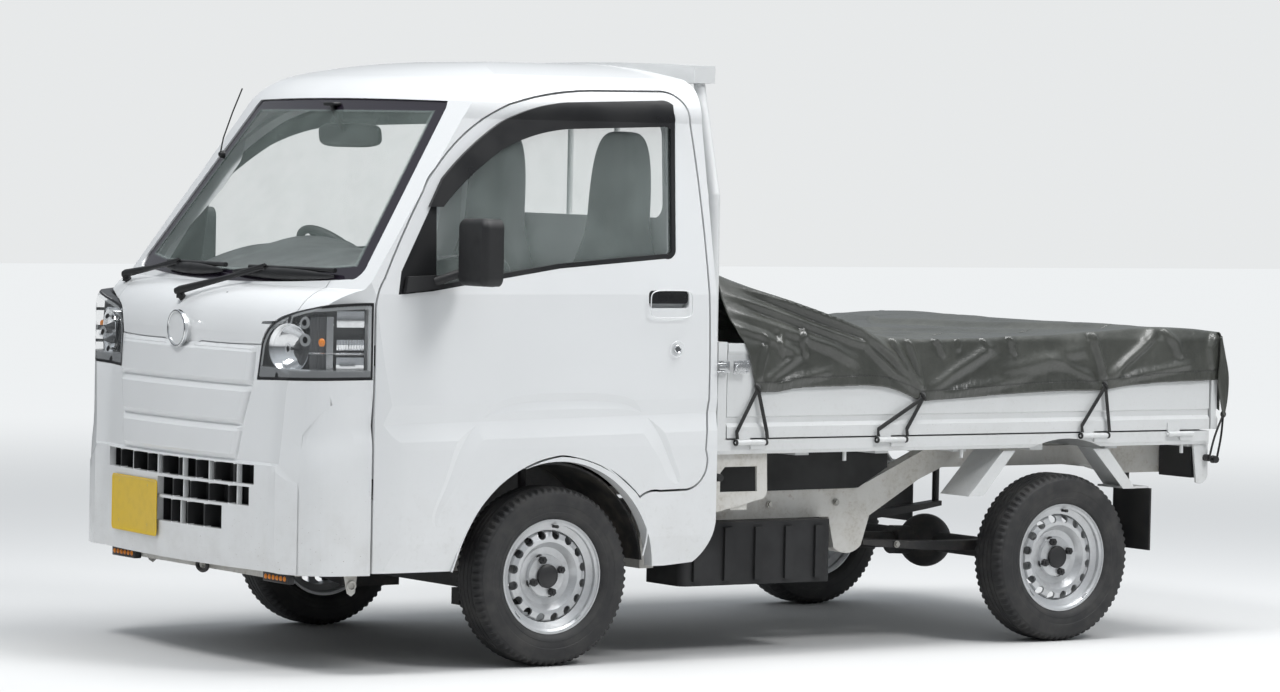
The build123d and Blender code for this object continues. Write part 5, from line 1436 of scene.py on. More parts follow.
    def _middle(self) -> None:
        """The middle sheet, from the guard frame to the rear."""
        xs = np.linspace(self.front_x, self.rear_top_x, 190)
        ys = np.linspace(-self.middle_half, self.middle_half, 116)
        x, y = np.meshgrid(xs, ys, indexing="ij")
        points = np.stack([x, y, self.ridge(x) + self.over_top(x, y)], axis=-1)
        piece, area = self._cloth("tarp_middle", points, np.full(x.shape, 1.0), False)
        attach(piece, "body")
        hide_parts("tarp_top")
        wide = 2 * self.middle_half
        area / wide

    def _rear(self) -> None:
        """The rear drape, from the middle sheet over the tailgate."""
        face_x = self.rear_x - 0.0014 - self.thickness
        ys = np.linspace(-self.rear_half, self.rear_half, 250)
        rows_top, rows_down = 34, 48
        points = np.zeros((len(ys), rows_top + rows_down, 3))
        up = np.ones((len(ys), rows_top + rows_down))
        keep = np.ones(up.shape, bool)
        crease = float(self.ridge(self.rear_x))
        xs = np.linspace(self.rear_top_x, face_x + 0.008, rows_top)
        fall = np.linspace(0, 1, rows_down)
        for i, y in enumerate(ys):
            hem = float(run_through(self.REAR_HEM, abs(y)))
            here = np.full(xs.shape, y)
            lift = self.over_top(xs, here) * (1 - smooth_step(-xs, 2.44, 2.505))
            points[i, :rows_top] = np.column_stack([xs, here, self.ridge(xs) + lift])
            first = points[i, rows_top - 1, 2] - 0.0045
            zs = first - fall * (first - hem)
            bend = np.clip((zs - (crease - 0.012)) / 0.012, 0, 1)
            wave = 0.0042 * np.abs(np.sin(y * 13.0 + 0.6)) * smooth_step(fall, 0.1, 0.5) * (1 - 0.3 * fall)
            out = (0.0018 + wave) * smooth_step(self.rear_half - abs(y), -0.01, 0.05)
            depth = face_x + 0.006 * bend ** 2 - out
            points[i, rows_top:] = np.column_stack([depth, np.full(zs.shape, y), zs])
            up[i, rows_top:] = zs - hem
            keep[i, :rows_top - 1] = abs(y) <= self.middle_half
        piece, area = self._cloth("tarp_rear_drape", points, up, True, keep)
        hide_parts("tarp_rear")
        tuple(at(self.rear_top_x, 0, 0.95))
        tuple(at(-2.500, 0, 0.95))
        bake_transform(piece)
        wide = 2 * self.rear_half
        area / wide * 1.05


def cad_copy(node: bpy.types.Object) -> bmesh.types.BMesh:
    """A CAD node's mesh with its loose triangles joined."""
    form = bmesh.new()
    form.from_mesh(node.data)
    bmesh.ops.remove_doubles(form, verts=form.verts, dist=1e-5)
    bmesh.ops.recalc_face_normals(form, faces=form.faces)
    return form


def divided(form: bmesh.types.BMesh, longest: float, rounds: int = 7) -> bmesh.types.BMesh:
    """Splits edges until none is longer than a length."""
    for _ in range(rounds):
        long = [edge for edge in form.edges if edge.calc_length() > longest]
        if not long:
            break
        bmesh.ops.subdivide_edges(form, edges=long, cuts=1)
        bmesh.ops.triangulate(form, faces=[face for face in form.faces if len(face.verts) > 3])
    return form


@dataclass(frozen=True)
class FrontCorner:
    """The full front corners of the bumper and lamps, as a swell of the plain round corner."""

    pivot: tuple[float, float] = (0.5133, 0.4069)
    swell_low: float = 0.048
    swell_high: float = 0.040
    start: float = 19.0
    crest: float = 47.0
    end: float = 76.0

    def outward(self, place: Vector) -> Vector:
        """The level direction away from the corner's pivot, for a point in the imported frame."""
        side = 1.0 if place.y > 0 else -1.0
        ahead = place.x - NOSE_TO_ORIGIN - self.pivot[0]
        return Vector((ahead, place.y - side * self.pivot[1], 0.0)).normalized()

    def moved(self, place: Vector) -> Vector:
        """The point after the corner's swell."""
        ahead = place.x - NOSE_TO_ORIGIN - self.pivot[0]
        aside = abs(place.y) - self.pivot[1]
        if ahead <= 0 or aside <= 0.0:
            return place
        turn = math.degrees(math.atan2(ahead, aside))
        rise = smooth_share((turn - self.start) / (self.crest - self.start))
        fall = smooth_share((self.end - turn) / (self.end - self.crest))
        low = min(1.0, max(0.0, (0.66 - place.z) / 0.08))
        depth = min(1.0, math.hypot(ahead, aside) / 0.25)
        size = self.swell_high + (self.swell_low - self.swell_high) * low
        return place + self.outward(place) * size * (rise * fall) * depth


@dataclass
class FrontEnd:
    """Bumper skin, slat faces, grille, blank plate, marker bars, washers, the boss and the towing loop."""

    workshop: Workshop
    corner: FrontCorner
    nodes: dict[str, bpy.types.Object]
    plate_low: tuple[float, float] = (-0.400, 0.343)
    plate_high: tuple[float, float] = (-0.074, 0.510)
    plate_corner: float = 0.012
    nose_radius: float = 3.2735
    panel_x: float = 0.857
    panel_z: float = 0.8
    grille_half: float = 0.505
    grille_low: float = 0.340
    grille_height: float = 0.262

    # slats: top z, face's low z, foot z, half width at the top, half width at the foot
    SLATS = (
        (0.9250, 0.8270, 0.8110, 0.4040, 0.4020),
        (0.8110, 0.7120, 0.6960, 0.3990, 0.3640),
        (0.6960, 0.6120, 0.5960, 0.3690, 0.3460),
    )
    # rows of the lower grille: bottom z, top z, right end y, y of the bars
    ROWS = (
        (0.529, 0.587, -0.4518, (-0.2731, -0.1011, 0.0553, 0.2013, 0.3457)),
        (0.467, 0.523, -0.0918, (0.0598, 0.2055, 0.3475)),
        (0.391, 0.461, -0.0918, (0.0462, 0.1887)),
    )
    # the plate's levels: scale about its middle, height over its back
    LEVELS = ((1.0, 0.0), (1.0, 0.0014), (0.992, 0.0024), (0.984, 0.0026), (0.974, 0.0018), (0.962, 0.0008),
              (0.95, 0.0006))

    def nose(self, y: float, out: float) -> float:
        """How far ahead of the front axle the nose reaches at a place across."""
        return NOSE_ARC_X + math.sqrt((self.nose_radius + out) ** 2 - y * y)

    def _panel_front(self, z: float) -> float:
        """How far ahead the panel under the windscreen reaches on the middle line at a height."""
        drop = self.panel_z - z
        return self.panel_x + (0.010 * drop / 0.204 if drop > 0 else 0.013 * drop / 0.16)

    def build(self, repeat: Repeat) -> None:
        """Makes every piece of the front.

        Args:
            repeat: the tree that sets the marker bars' lenses.
        """
        self._bumper()
        self._slats()
        self._backing()
        self._bars()
        self._plate()
        self._markers(repeat)
        self._washers()
        self._boss()
        loop = hoop(0.806, 0.069, 0.270, (0.030, 0.017), 32, round_section(0.0062, 10), side=ALONG)
        self.workshop.piece("tow_loop", loop, "axle_paint")

    def _bumper(self) -> None:
        """The bumper with its full corners."""
        form = divided(cad_copy(self.nodes["front_bumper"]), 0.05)
        for vertex in form.verts:
            vertex.co = self.corner.moved(vertex.co)
        piece = self.workshop.piece("bumper_skin", form, "bumper_paint", smooth=7.0)
        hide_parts("front_bumper")

    def _backing(self) -> None:
        """Black mesh sheet close behind the lower grille."""
        columns, rows = 40, 12
        grid = []
        for i in range(columns + 1):
            y = -self.grille_half + 2 * self.grille_half * i / columns
            x = self.nose(y, -0.0475)
            grid.append([at(x, y, self.grille_low + self.grille_height * j / rows) for j in range(rows + 1)])
        piece = self.workshop.piece("grille_backing", skin(grid, flip=True), "grille_mesh", smooth=60.0)
        Workshop.thickened(piece, 0.0015, -1.0)

    def _slats(self) -> None:
        """Crisp faces over the three stacked slats: a slope towards the sky, a face and an undercut."""
        columns = 60
        forms = []
        for top, face_low, foot, top_half, foot_half in self.SLATS:
            profile = ((top - 0.0006, -0.003), (top - 0.0010, 0.0004), (top - 0.0170, 0.0125),
                       (top - 0.0185, 0.0131), (face_low + 0.001, 0.0138), (face_low - 0.001, 0.0131),
                       (foot + 0.0012, 0.0004), (foot, -0.003))
            grid = []
            for i in range(columns + 1):
                share = -1 + 2 * i / columns
                row = []
                for z, off in profile:
                    half = foot_half + (top_half - foot_half) * (z - foot) / (top - foot) - 0.0012
                    y = share * half
                    lift = min(1.0, (half - abs(y)) / 0.019)
                    radius = self._panel_front(z) - NOSE_ARC_X + (off * lift if off > 0 else off)
                    row.append(at(math.sqrt(radius ** 2 - y * y) + NOSE_ARC_X, y, z))
                grid.append(row)
            form = skin(grid)
            bmesh.ops.recalc_face_normals(form, faces=form.faces)
            forms.append(form)
        slats = self.workshop.piece("slat_faces", joined(*forms), "white_paint", smooth=14.0)
        Workshop.thickened(slats, 0.002, -1.0)

    def _bars(self) -> None:
        """White upright bars across the openings, and the white wall at each row's far end."""
        forms = []
        for low, high, wall, bars in self.ROWS:
            for y, width, depth in ((wall, 0.003, 0.033), *((bar, 0.0055, 0.016) for bar in bars)):
                front = self.nose(y, -0.0035)
                forms.append(slab(at(front - depth, y, low), at(front, y + width, high), 0.0012))
        self.workshop.piece("grille_bars", joined(*forms), "white_paint")

    def _plate(self) -> None:
        """The bare plate with a pressed rim, on two bolts."""
        (y0, z0), (y1, z1) = self.plate_low, self.plate_high
        corner, steps = self.plate_corner, 5
        ring = []
        for cy, cz, start in ((y1 - corner, z1 - corner, 0), (y0 + corner, z1 - corner, 90),
                              (y0 + corner, z0 + corner, 180), (y1 - corner, z0 + corner, 270)):
            for k in range(steps + 1):
                a = math.radians(start + 90 * k / steps)
                ring.append((cy + corner * math.cos(a), cz + corner * math.sin(a)))
        middle_y, middle_z = (y0 + y1) / 2, (z0 + z1) / 2
        first, last = (at(self.nose(y, 0.010), y, 0) for y in (y0, y1))
        slope = (last.x - first.x) / (y1 - y0)
        out = Vector((1.0, -slope, 0.0)).normalized()
        rings = []
        for scale, lift in self.LEVELS:
            row = []
            for y, z in ring:
                py = middle_y + (y - middle_y) * scale
                pz = middle_z + (z - middle_z) * (1 - (1 - scale) * 1.9)
                row.append(Vector((first.x + slope * (py - y0), py, pz)) + out * lift)
            rings.append(row)
        self.workshop.piece("blank_plate", skin(rings, wrap=True), "plate_yellow", smooth=50.0)
        posts = [turned([(0, 0.0), (0.010, 0.0), (0.010, -0.014), (0, -0.014)],
                        Vector((first.x + slope * (y - y0), y, z)), "X", 16)
                 for y in (y0 + 0.06, y1 - 0.06) for z in (z0 + 0.03, z1 - 0.02)]
        self.workshop.piece("plate_posts", joined(*posts), "bolt_zinc")

    def _markers(self, repeat: Repeat) -> None:
        """Two black bars, each with a row of amber lenses."""
        cases, places = [], []
        for low, high in ((0.420, 0.565), (-0.505, -0.360)):
            cases.append(slab(at(0.778, low, 0.2525), at(0.802, high, 0.2805), 0.003))
            cases.append(slab(at(0.8015, low + 0.004, 0.256), at(0.8035, high - 0.004, 0.2585), 0.0008, 1))
            for k in range(6):
                y = low + 0.018 + (high - low - 0.036) * k / 5
                places.append((at(0.8015, y, 0.2672), facing_turn(ALONG)))
        piece = self.workshop.piece("marker_cases", joined(*cases), "black_trim", slot="amber_lens")
        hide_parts("marker_lamps")
        profile = [(0, 0.0048), (0.0035, 0.0042), (0.0066, 0.0024), (0.0078, 0.0), (0.0078, -0.002),
                   (0, -0.002)]
        dome = turned(profile, ORIGIN, "Z", 16)
        repeat.made("marker_lenses", dome, places, "amber_glow", "body", "amber_lens")

    def _washers(self) -> None:
        """Two washer nozzles under the windscreen."""
        outline = ((0.014, -0.010, -0.011), (-0.014, -0.010, 0.001), (-0.012, -0.010, 0.013),
                   (0.004, -0.010, 0.010), (0.016, -0.010, -0.003))
        forms = []
        for place in ((0.767, -0.325, 1.057), (0.774, 0.138, 1.063)):
            forms.append(plate([at(*place) + Vector(p) for p in outline], Vector((0, 0.020, 0)), 0.003))
        self.workshop.piece("washer_nozzles", joined(*forms), "wiper_black", smooth=40.0)

    def _boss(self) -> None:
        """A plain bright rim round the bare disc under the windscreen."""
        centre = at(0.8655, 0.0, 0.961)
        rim = [(0.0480, -0.006), (0.0480, 0.0030), (0.0500, 0.0048), (0.0528, 0.0048), (0.0548, 0.0026),
               (0.0548, -0.006), (0.0480, -0.006)]
        face = [(0.0, 0.0016), (0.030, 0.0014), (0.0485, 0.0004), (0.0485, -0.006), (0.0, -0.006)]
        self.workshop.piece("boss_rim", turned(rim, centre, "X", 64), "chrome")
        self.workshop.piece("boss_face", turned(face, centre, "X", 64), "white_paint")


@dataclass
class Headlamps:
    """Clear lamp covers over dark housings with reflectors and bulbs."""

    workshop: Workshop
    corner: FrontCorner
    nodes: dict[str, bpy.types.Object]
    depth: float = 0.060

    # panels: turns round the corner in degrees, heights, depth, steps, groove
    PANELS = (
        ((24.0, 37.5), (0.990, 1.036), 0.014, 14, 0.0),
        ((24.0, 37.5), (0.925, 0.955), 0.016, 20, 0.003),
        ((24.0, 37.5), (0.862, 0.905), 0.014, 14, 0.0),
        ((50.0, 72.0), (0.855, 0.868), 0.018, 14, 0.0),
        ((56.0, 80.0), (0.985, 1.000), 0.022, 14, 0.0),
    )
    BARS = (((24.0, 50.0), (0.912, 0.918), 0.010, 14, 0.0), ((39.0, 42.0), (0.858, 1.020), 0.013, 14, 0.0))
    DIVIDER = ((42.0, 50.5), (0.850, 1.018), 0.022, 10, 0.0015)

    def build(self) -> None:
        """Makes both lamps."""
        whole = divided(cad_copy(self.nodes["headlamps"]), 0.009, 9)
        inner = [face for face in whole.faces
                 if face.normal.dot(self.corner.outward(face.calc_center_median())) < 0.55]
        bmesh.ops.delete(whole, geom=inner, context="FACES")
        front = joined(whole)
        bmesh.ops.remove_doubles(front, verts=front.verts, dist=1e-6)
        edge_points = [(e.verts[0].co + e.verts[1].co) / 2 for e in front.edges if e.is_boundary]
        tree = KDTree(len(edge_points))
        for index, point in enumerate(edge_points):
            tree.insert(point, index)
        tree.balance()
        far = {vertex.index: tree.find(vertex.co)[2] for vertex in front.verts}
        ways = {vertex.index: self.corner.outward(vertex.co) for vertex in front.verts}
        for vertex in front.verts:
            vertex.co = self.corner.moved(vertex.co)
        mesh = bpy.data.meshes.new("lamp_covers")
        front.to_mesh(mesh)
        layer = mesh.attributes.new("edge", "FLOAT", "POINT")
        layer.data.foreach_set("value", [far[k] for k in range(len(mesh.vertices))])
        surface = BVHTree.FromBMesh(front)
        self._housing(front, ways, far)
        cover = self.workshop.piece("lamp_covers", mesh, "lamp_cover", slot="lamp_lens", smooth=30.0)
        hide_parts("headlamps")
        front.free()
        for side in Side:
            self._inside(side, surface)

    def _housing(self, front: Form, ways: dict[int, Vector], far: dict[int, float]) -> None:
        """Deep dark tubs behind the covers."""
        tub = front.copy()
        faces = list(tub.faces)
        places = {tuple(round(c, 6) for c in vertex.co): vertex.index for vertex in tub.verts}
        for vertex in grown(tub, faces):
            key = places[tuple(round(c, 6) for c in vertex.co)]
            vertex.co -= ways[key] * self.depth * min(1.0, 0.35 + far[key] / 0.03)
        old = [face for face in tub.faces if face in set(faces)]
        bmesh.ops.delete(tub, geom=old, context="FACES")
        for vertex in tub.verts:
            vertex.co -= self.corner.outward(vertex.co) * 0.001
        bmesh.ops.recalc_face_normals(tub, faces=tub.faces)
        self.workshop.piece("lamp_tubs", tub, "lamp_shell", slot="lamp_lens", smooth=40.0)

    def _behind(self, surface: BVHTree, side: Side, turn: float, z: float, depth: float) -> Vector:
        """A point behind the cover, at a turn round the corner in degrees from straight aside."""
        a = math.radians(turn)
        way = Vector((math.sin(a), side.value * math.cos(a), 0.0))
        start = at(self.corner.pivot[0], self.corner.pivot[1] * side.value, z)
        hit = surface.ray_cast(start, way)[0]
        reach = (hit - start).length if hit is not None else 0.36
        return start + way * (reach - depth)

    def _panel(self, surface: BVHTree, side: Side, turns: tuple[float, float], zs: tuple[float, float],
               depth: float, steps: int, groove: float) -> Form:
        """A bright panel that follows the cover at some depth, with optional upright flutes."""
        grid = []
        for i in range(steps + 1):
            turn = turns[0] + (turns[1] - turns[0]) * i / steps
            row = []
            for j in range(5):
                z = zs[0] + (zs[1] - zs[0]) * j / 4
                sunk = depth + (groove if i % 2 else 0.0) + 0.004 * abs(j - 2) / 2
                row.append(self._behind(surface, side, turn, z, sunk))
            grid.append(row)
        form = skin(grid, flip=True)
        for vertex in grown(form, list(form.faces)):
            vertex.co -= self.corner.outward(vertex.co) * 0.012
        bmesh.ops.recalc_face_normals(form, faces=form.faces)
        return form

    def _bowl(self, centre: Vector, s: float) -> Form:
        """The round reflector, wider than high and turned outwards."""
        profile = [(0.011, -0.046), (0.028, -0.040), (0.046, -0.026), (0.060, -0.008), (0.068, 0.008),
                   (0.0715, 0.010), (0.0715, 0.004), (0.050, -0.030), (0.028, -0.046), (0.011, -0.052),
                   (0.011, -0.046)]
        bowl = turned(profile, centre, "X", 40)
        outwards = Matrix.Translation(centre) @ Matrix.Rotation(math.radians(14 * s), 4, "Z")
        wider = outwards @ Matrix.Diagonal((1, 1.15, 1, 1)) @ Matrix.Translation(-centre)
        bmesh.ops.transform(bowl, matrix=wider, verts=bowl.verts)
        return bowl

    def _inside(self, side: Side, surface: BVHTree) -> None:
        """Reflectors, divider and bulbs of one lamp."""
        centre = at(0.792, 0.545 * side.value, 0.925)
        panels = [self._panel(surface, side, *row) for row in self.PANELS]
        bars = [self._panel(surface, side, *row) for row in self.BARS]
        amber = turned([(0.0, 0.011), (0.005, 0.0095), (0.009, 0.004), (0.0095, -0.004), (0.006, -0.012),
                        (0.0, -0.012)], self._behind(surface, side, 44.0, 0.948, 0.012), "Z", 24)
        clear = turned([(0.0, 0.014), (0.006, 0.012), (0.0085, 0.004), (0.0085, -0.030), (0.0, -0.030)],
                       centre + Vector((-0.012, 0, 0)), "X", 24)
        for name, form, finish, smooth in (
            ("bowl", self._bowl(centre, side.value), "chrome", 50.0),
            ("panels", joined(*panels), "chrome", 20.0),
            ("bars", joined(*bars), "bright_grey", 30.0),
            ("divider", self._panel(surface, side, *self.DIVIDER), "lamp_grey", 30.0),
            ("bulb", amber, "amber_glow", 35.0),
            ("capsule", clear, "bright_grey", 35.0),
        ):
            self.workshop.piece(f"lamp_{name}_{side.word}", form, finish, slot="lamp_lens", smooth=smooth)


@dataclass
class Wipers:
    """Arms and thick spindle-shaped blades along the windscreen's foot."""

    workshop: Workshop
    nodes: dict[str, bpy.types.Object]
    blade_z: float = 1.1235
    blade_off: float = 0.0125

    # columns: pivot x on the middle line, pivot y, pivot z, arm end y, blade start y, blade tip y
    ROWS = ((0.766, -0.600, 1.078, -0.290, -0.400, 0.000), (0.808, -0.075, 1.046, 0.240, 0.060, 0.560))

    def build(self) -> None:
        """Makes both wipers over the plain ones."""
        form = bmesh.new()
        form.from_mesh(self.nodes["windscreen"].data)
        glass = BVHTree.FromBMesh(form)
        form.free()
        pivot_profile = [(0, -0.012), (0.0125, -0.012), (0.0125, 0.012), (0.010, 0.017), (0, 0.019)]
        steps = 24
        forms = []
        for x, y, z, mid, start, tip in self.ROWS:
            x = NOSE_ARC_X + math.sqrt((x - NOSE_ARC_X) ** 2 - y * y)
            head = at(x + 0.014, y + 0.004, z + 0.024)
            elbow = self._on(glass, mid, 1.130, 0.026)
            forms.append(turned(pivot_profile, at(x + 0.008, y, z + 0.012), "Z", 24))
            forms.append(self._spindle([head - (elbow - head) * 0.05, head, head.lerp(elbow, 0.34), elbow],
                                       [0.009, 0.0125, 0.0095, 0.0048], 0.75))
            blade = [self._on(glass, start + (tip - start) * k / steps, self.blade_z, self.blade_off)
                     for k in range(steps + 1)]
            sizes = [0.0032 + 0.0135 * math.sin(math.pi * k / steps) ** 0.7 for k in range(steps + 1)]
            forms.append(self._spindle(blade, sizes, 0.62))
            joint = [elbow, self._on(glass, mid, self.blade_z, self.blade_off)]
            forms.append(self._spindle(joint, [0.006, 0.006], 1.0))
        self.workshop.piece("wiper_covers", joined(*forms), "wiper_black", slot="wiper_black", smooth=40.0)

    @staticmethod
    def _on(glass: BVHTree, y: float, z: float, off: float) -> Vector:
        """A point above the glass."""
        hit, normal, *_ = glass.ray_cast(Vector((3.0, y, z)), Vector((-1, 0, 0)))
        if hit is None:
            hit, normal, *_ = glass.find_nearest(at(0.68, y, z))
        return hit + normal * off * (1 if normal.x > 0 else -1)

    @staticmethod
    def _spindle(path: Sequence[Vector], sizes: Sequence[float], depth: float) -> Form:
        """A tube whose width changes along it."""
        rings = []
        for index, (point, size) in enumerate(zip(path, sizes)):
            ahead = (path[min(index + 1, len(path) - 1)] - path[max(index - 1, 0)]).normalized()
            up = (UP - ahead * ahead.z).normalized()
            out = ahead.cross(up)
            rings.append([point + up * size * u + out * size * depth * v for u, v in circle(12)])
        return skin(rings, wrap=True)


@dataclass(frozen=True)
class TyreShape:
    """The sizes of one tyre's tread."""

    radius: float = 0.262
    pitches: int = 72
    ribs: tuple[float, ...] = (0.010, 0.030)  # the grooves' distances from the middle
    groove: float = 0.0032
    groove_depth: float = 0.0062


@dataclass
class Wheels:
    """Tyres with tread and plain walls, and the wheels' caps, nuts, bosses, valves and weights."""

    workshop: Workshop
    shape: TyreShape = TyreShape()
    wheelbase: float = 1.900
    half_track: float = 0.6525
    hub_y: float = 0.652
    hub_z: float = 0.262
    notch_depth: float = 0.0058
    sipe_depth: float = 0.0022

    # columns: across, radius, share of the notch, from the shoulder to the bead
    WALL = (
        (0.0470, 0.2612, 1.0), (0.0540, 0.2592, 1.0), (0.0592, 0.2560, 1.0), (0.0622, 0.2530, 0.8),
        (0.0648, 0.2490, 0.6), (0.0660, 0.2452, 0.0), (0.0676, 0.2440, 0.0), (0.0690, 0.2405, 0.0),
        (0.0708, 0.2330, 0.0), (0.0722, 0.2230, 0.0), (0.0725, 0.2150, 0.0), (0.0723, 0.2105, 0.0),
        (0.0714, 0.2090, 0.0), (0.0716, 0.2030, 0.0), (0.0705, 0.1960, 0.0), (0.0692, 0.1900, 0.0),
        (0.0700, 0.1885, 0.0), (0.0690, 0.1840, 0.0), (0.0664, 0.1790, 0.0), (0.0630, 0.1745, 0.0),
        (0.0600, 0.1715, 0.0), (0.0560, 0.1690, 0.0),
    )

    def build(self, repeat: Repeat) -> None:
        """Dresses the four wheels.

        Args:
            repeat: the tree that sets the nuts.
        """
        for end, x in (("front", 0.0), ("rear", -self.wheelbase)):
            for side in Side:
                tail = f"{end}_{side.word}"
                body = f"wheel_{tail}"
                tyre = self._tyre(at(x, self.half_track * side.value, self.hub_z))
                piece = self.workshop.piece(f"tread_{tail}", tyre, "tyre_rubber", body, "tyre_rubber", 28.0)
                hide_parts(f"tyre_{tail}")
                self._hub(repeat, tail, body, side.value, at(x, side.value * self.hub_y, self.hub_z))

    def _profile(self) -> list[tuple[float, float, float]]:
        """The half section as (across, radius, share of the notch), from the tread's middle to the bead."""
        s = self.shape
        half, floor = s.groove / 2, s.radius - s.groove_depth
        rows = [(0.0, s.radius, 0.0)]
        for rib in s.ribs:
            rows += [(rib - half - 0.0006, s.radius, 0.0), (rib - half, s.radius - 0.0006, 0.0),
                     (rib - half + 0.0004, floor, 0.0), (rib + half - 0.0004, floor, 0.0),
                     (rib + half, s.radius - 0.0006, 0.0), (rib + half + 0.0006, s.radius, 0.0)]
        return [*rows, (0.0400, s.radius, 0.25), *self.WALL]

    def _tyre(self, centre: Vector) -> bpy.types.Mesh:
        """A turned tyre whose shoulders are cut by slanted notches."""
        half = self._profile()
        section = [(-a, r, n) for a, r, n in reversed(half[1:])] + half
        across, radii, notch = np.array(section).T
        steps = self.shape.pitches * 4
        turn = 2 * np.pi * np.arange(steps) / steps
        phase = (np.arange(steps)[:, None] + np.where(across > 0, 0, 2)[None, :]) % 4
        cut = np.where(phase < 2, self.notch_depth, 0.0)
        sipe = (np.abs(across) < 0.0075)[None, :] & (phase == 0)
        radius = radii[None, :] - notch[None, :] * cut - np.where(sipe, self.sipe_depth, 0.0)
        px = centre.x + radius * np.cos(turn)[:, None]
        pz = centre.z + radius * np.sin(turn)[:, None]
        py = np.broadcast_to(centre.y + across[None, :], px.shape)
        points = np.stack([px, py, pz], axis=-1).reshape(-1, 3)
        count = len(section)
        faces = []
        for k in range(steps):
            here, there = k * count, ((k + 1) % steps) * count
            for j in range(count - 1):
                faces.append((here + j, here + j + 1, there + j + 1, there + j))
            faces.append((here + count - 1, here, there, there + count - 1))
        mesh = bpy.data.meshes.new("tyre")
        mesh.from_pydata(points.tolist(), [], faces)
        form = bmesh.new()
        form.from_mesh(mesh)
        bmesh.ops.recalc_face_normals(form, faces=form.faces)
        form.to_mesh(mesh)
        form.free()
        return mesh

    def _hub(self, repeat: Repeat, tail: str, body: str, s: float, centre: Vector) -> None:
        """Cap, nuts, bosses, valve and weights of one wheel."""
        out = Vector((0, s, 0))
        cap = turned([(0.0, 0.0300), (0.0350, 0.0300), (0.0352, 0.0335), (0.0338, 0.0372), (0.0300, 0.0392),
                      (0.0285, 0.0386), (0.0270, 0.0395), (0.0, 0.0402)], centre, "Y", 48, s)
        self.workshop.piece(f"hub_cap_{tail}", cap, "cap_black", body, "wheel_paint", 30.0)
        places = []
        for k in range(4):
            a = math.radians(20 + 90 * k)
            spot = centre + Vector((math.cos(a), 0, -math.sin(a))) * 0.050
            places.append((spot + out * 0.0180, facing_turn(out, 0.2 * k)))
        nut = rounded(hexagon(0.0122, 0.0118, 0.022, 0.011), 0.0012)
        seat = turned([(0, 0.0), (0.0165, 0.0), (0.0150, 0.0035), (0, 0.0035)], ORIGIN, "Z", 24)
        bore = turned([(0, 0.0215), (0.0058, 0.0215), (0.0050, 0.0265), (0, 0.0270)], ORIGIN, "Z", 16)
        repeat.made(f"nuts_{tail}", joined(nut, seat, bore), places, "cap_black", body, "wheel_paint")
        bosses = joined(*self._bosses(centre, s))
        self.workshop.piece(f"bosses_{tail}", bosses, "wheel_silver", body, "wheel_paint", 40.0)
        a = math.radians(96)
        stem = turned([(0, 0.012), (0.0060, 0.012), (0.0056, 0.030), (0.0042, 0.034), (0.0042, 0.050),
                       (0.0050, 0.051), (0.0050, 0.0585), (0, 0.0590)],
                      centre + Vector((math.cos(a), 0, math.sin(a))) * 0.1465, "Y", 16, s)
        self.workshop.piece(f"valve_{tail}", stem, "tyre_rubber", body, "wheel_paint")
        clip = [(-0.003, -0.0015), (0.003, -0.0015), (0.003, 0.0015), (-0.003, 0.0015)]
        weights = []
        for start, span in ((228, 0.12), (312, 0.16)):
            turns = [math.radians(start) + span * k / 6 for k in range(7)]
            path = [centre + Vector((math.cos(a), 0, math.sin(a))) * 0.1555 + out * 0.0535 for a in turns]
            weights.append(swept(path, clip))
        self.workshop.piece(f"weights_{tail}", joined(*weights), "bright_grey", body, "wheel_paint")

    @staticmethod
    def _bosses(centre: Vector, s: float) -> list[Form]:
        """Raised bridges between the nuts."""
        section = [(-0.0040, -0.0078), (0.0040, -0.0074), (0.0068, -0.0046), (0.0068, 0.0046),
                   (0.0040, 0.0074), (-0.0040, 0.0078)]
        forms = []
        for k in range(4):
            middle = math.radians(-20 - 90 * k + 45)
            path = []
            for step in range(9):
                a = middle + math.radians(21) * (step / 4 - 1)
                round_hub = Vector((math.cos(a), 0, math.sin(a))) * 0.0555
                path.append(centre + round_hub + Vector((0, s, 0)) * 0.0165)
            forms.append(swept(path, [(s * u, v) for u, v in section]))
        return forms


